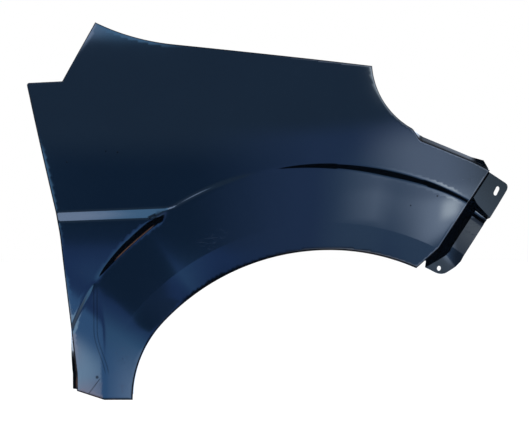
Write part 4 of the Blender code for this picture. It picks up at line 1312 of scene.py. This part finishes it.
# The bright ground starts lower, and the dark under it higher, to the right of the object
GROUND_RIGHT = (2.0, 8.0)
GROUND_DROP = 2.6
UNDER_RIGHT = (3.0, 14.0)
UNDER_RISE = 14.0

# Plain colours of the tent, and graded ones: a reading, the span over which it turns, both colours
TENT_DARK = rgb(0.064, 0.19, 0.47)
TENT_UPPER = rgb(0.16, 0.33, 0.64)
TENT_BLUE = rgb(0.21, 0.44, 1.08)
TENT_EDGE = rgb(0.45, 0.62, 0.80)
TENT_UNDER = rgb(0.008, 0.010, 0.014)
CARD_LOW = rgb(0.36, 0.70, 1.35)
CARD = ("elevation", (5.5, 8.0), rgb(2.1, 2.8, 4.0), rgb(1.3, 1.8, 2.75))
CARD_HOT = rgb(5.0, 6.0, 7.2)
RIM_LIGHT = rgb(2.4, 3.0, 3.6)
GROUND_STEP = rgb(0.17, 0.43, 1.30)
GROUND_MIDDLE = rgb(0.46, 1.25, 2.60)
GROUND_LOW = rgb(1.5, 2.5, 4.3)
CORNER_NEAR = rgb(0.46, 1.25, 2.85)
CORNER_FAR = ("elevation", (-16.8, -15.8), rgb(3.0, 3.3, 4.7), rgb(2.2, 3.8, 5.8))
SIDE_GLINT = rgb(0.70, 1.70, 3.20)
STRIP_LIGHT = ("azimuth", (-12.0, -3.0), rgb(2.3, 3.2, 4.9), rgb(0.8, 1.9, 3.5))
SIDE_SOFT = ("elevation", (-50.0, 35.0), rgb(0.15, 0.21, 0.32), rgb(0.95, 1.45, 2.20))
BACK_LIGHT = ("elevation", (-34.0, 6.0), rgb(0.22, 0.27, 0.35), rgb(1.6, 1.9, 2.4))

# Patches of the tent, each laid over those before it: colour, then for each reading in degrees the
# span over which the patch comes in and the span over which it goes, or None where it has no end
PATCHES = [
    (TENT_UPPER, ("elevation", (12.0, 22.0), None)),
    (TENT_BLUE, ("azimuth", (6.0, 26.0), None), ("elevation", None, (19.0, 24.0))),
    (CARD_LOW, ("azimuth", (28.0, 38.0), None), ("elevation", None, (10.0, 20.0))),
    (CARD, ("azimuth", (33.0, 49.0), None), ("elevation", (-0.8, 0.2), (15.0, 24.0))),
    (CARD_HOT, ("azimuth", (48.0, 51.5), (54.0, 57.5)), ("elevation", (1.0, 3.0), (5.0, 7.0))),
    (TENT_EDGE, ("azimuth", (53.0, 70.0), None)),
    (RIM_LIGHT, ("azimuth", (40.0, 46.0), None), ("elevation", (25.0, 30.0), (48.0, 53.0))),
    (GROUND_STEP, ("ground", None, (-2.55, -2.35)), ("azimuth", None, (14.0, 24.0))),
    (GROUND_MIDDLE, ("elevation", None, (-14.0, -2.0)), ("azimuth", (-8.0, -3.0), (7.0, 12.0))),
    (GROUND_LOW, ("elevation", None, (-18.0, -12.0)), ("azimuth", (-8.0, -3.0), (7.0, 12.0))),
    (CORNER_NEAR, ("elevation", None, (-14.0, -12.0)), ("azimuth", (-16.0, -13.0), (-3.0, 0.0))),
    (CORNER_NEAR, ("elevation", None, (-12.0, -8.0)), ("azimuth", None, (-13.0, -9.5))),
    (CORNER_FAR, ("elevation", None, (-12.0, -8.0)), ("azimuth", None, (-21.5, -17.5))),
    (SIDE_GLINT, ("azimuth", None, (-16.0, -10.0)), ("elevation", (-4.0, 0.0), (14.0, 18.0))),
    (STRIP_LIGHT, ("elevation", (42.0, 46.0), (60.0, 64.0)), ("azimuth", None, (2.0, 8.0))),
    (TENT_UNDER, ("under", None, (-27.0, -20.0))),
    (TENT_UNDER, ("elevation", (66.0, 72.0), None)),
    (SIDE_SOFT, ("azimuth", None, (-42.0, -27.0))),
    (TENT_UNDER, ("side", (74.0, 96.0), None)),
    (BACK_LIGHT, ("side", (124.0, 146.0), None), ("elevation", None, (40.0, 60.0))),
]


def stage_plane(name, size, height):
    bpy.ops.mesh.primitive_plane_add(size=size, location=(0.0, 0.0, height))
    plane = bpy.context.object
    plane.name = name
    return plane


def floor_material():
    material, nodes = new_material("white_floor")
    lit = nodes.add("ShaderNodeBsdfDiffuse", {}, (FLOOR_WHITE, 1.0))
    plain = nodes.add("ShaderNodeEmission", {}, (WHITE, GLOW_STRENGTH))
    camera = nodes.add("ShaderNodeLightPath", output="Is Camera Ray")
    shader = nodes.add("ShaderNodeMixShader", {}, (camera * FLOOR_GLOW, lit, plain))
    nodes.add("ShaderNodeOutputMaterial", {}, (shader,))
    return material


def tent_colour(nodes):
    """Light of the tent by direction: azimuth from the camera's side, and elevation, in degrees."""
    across, depth, height = nodes.parts(nodes.add("ShaderNodeTexCoord", output="Object"))
    azimuth = across.arctangent(depth * -1.0) * DEGREES
    elevation = (height * (1.0 / TENT_RADIUS)).arcsine() * DEGREES
    readings = {
        "azimuth": azimuth,
        "elevation": elevation,
        "side": azimuth.size(),
        "ground": elevation + azimuth.eased(*GROUND_RIGHT) * GROUND_DROP,
        "under": elevation - azimuth.eased(*UNDER_RIGHT) * UNDER_RISE,
    }
    colour = TENT_DARK
    for light, *limits in PATCHES:
        mask = 1.0
        for reading, comes, goes in limits:
            if comes:
                mask = readings[reading].eased(*comes) * mask
            if goes:
                mask = readings[reading].faded(*goes) * mask
        if light[0] in readings:
            reading, span, first, second = light
            light = nodes.mixed(readings[reading].eased(*span), first, second)
        colour = nodes.mixed(mask, colour, light)
    return colour


def tent_material():
    material, nodes = new_material("reflection_tent")
    light = nodes.add("ShaderNodeEmission", {}, (tent_colour(nodes), 1.0))
    nodes.add("ShaderNodeOutputMaterial", {}, (light,))
    return material


def build_tent():
    """Sphere round the object, seen only by reflections."""
    mesh = bpy.data.meshes.new("reflection_tent")
    shape = bmesh.new()
    bmesh.ops.create_uvsphere(shape, u_segments=TENT_SEGMENTS, v_segments=TENT_RINGS, radius=TENT_RADIUS)
    shape.to_mesh(mesh)
    shape.free()
    mesh.shade_smooth()
    tent = bpy.data.objects.new("reflection_tent", mesh)
    tent.location = TENT_CENTRE
    bpy.context.scene.collection.objects.link(tent)
    mesh.materials.append(tent_material())
    for name in ("camera", "diffuse", "transmission", "shadow", "volume_scatter"):
        setattr(tent, "visible_" + name, False)


def build_world():
    """Even white light, and a white background."""
    world = bpy.data.worlds.new("studio")
    world.use_nodes = True
    bpy.context.scene.world = world
    nodes = Nodes(world.node_tree)
    path = [nodes.add("ShaderNodeLightPath", output=kind)
            for kind in ("Is Camera Ray", "Is Glossy Ray", "Is Transmission Ray")]
    seen = path[0].at_least(path[1]).at_least(path[2])
    light = nodes.add("ShaderNodeBackground", {}, (nodes.mixed(seen, SKY_LIGHT, WHITE), 1.0))
    nodes.add("ShaderNodeOutputWorld", {}, (light,))


def build_lamp():
    """Soft round lamp above the camera's left, which reflections don't see."""
    data = bpy.data.lights.new("soft_key", "AREA")
    data.shape = "DISK"
    data.size = KEY_SIZE
    data.energy = KEY_POWER
    lamp = bpy.data.objects.new("soft_key", data)
    lamp.location = KEY_PLACE
    aim = Vector(KEY_TARGET) - Vector(KEY_PLACE)
    lamp.rotation_euler = aim.to_track_quat("-Z", "Y").to_euler()
    lamp.visible_glossy = False
    lamp.visible_camera = False
    bpy.context.scene.collection.objects.link(lamp)


def build_camera():
    data = bpy.data.cameras.new("camera")
    data.sensor_fit = "HORIZONTAL"
    data.angle = CAMERA_ANGLE
    camera = bpy.data.objects.new("camera", data)
    camera.location = CAMERA_PLACE
    camera.rotation_euler = CAMERA_TURN
    bpy.context.scene.collection.objects.link(camera)
    bpy.context.scene.camera = camera


floor = stage_plane("floor", FLOOR_SIZE, FLOOR_HEIGHT)
floor.data.materials.append(floor_material())
floor.visible_glossy = False
build_tent()
build_world()
build_lamp()
build_camera()

bpy.context.scene.view_settings.view_transform = "Standard"
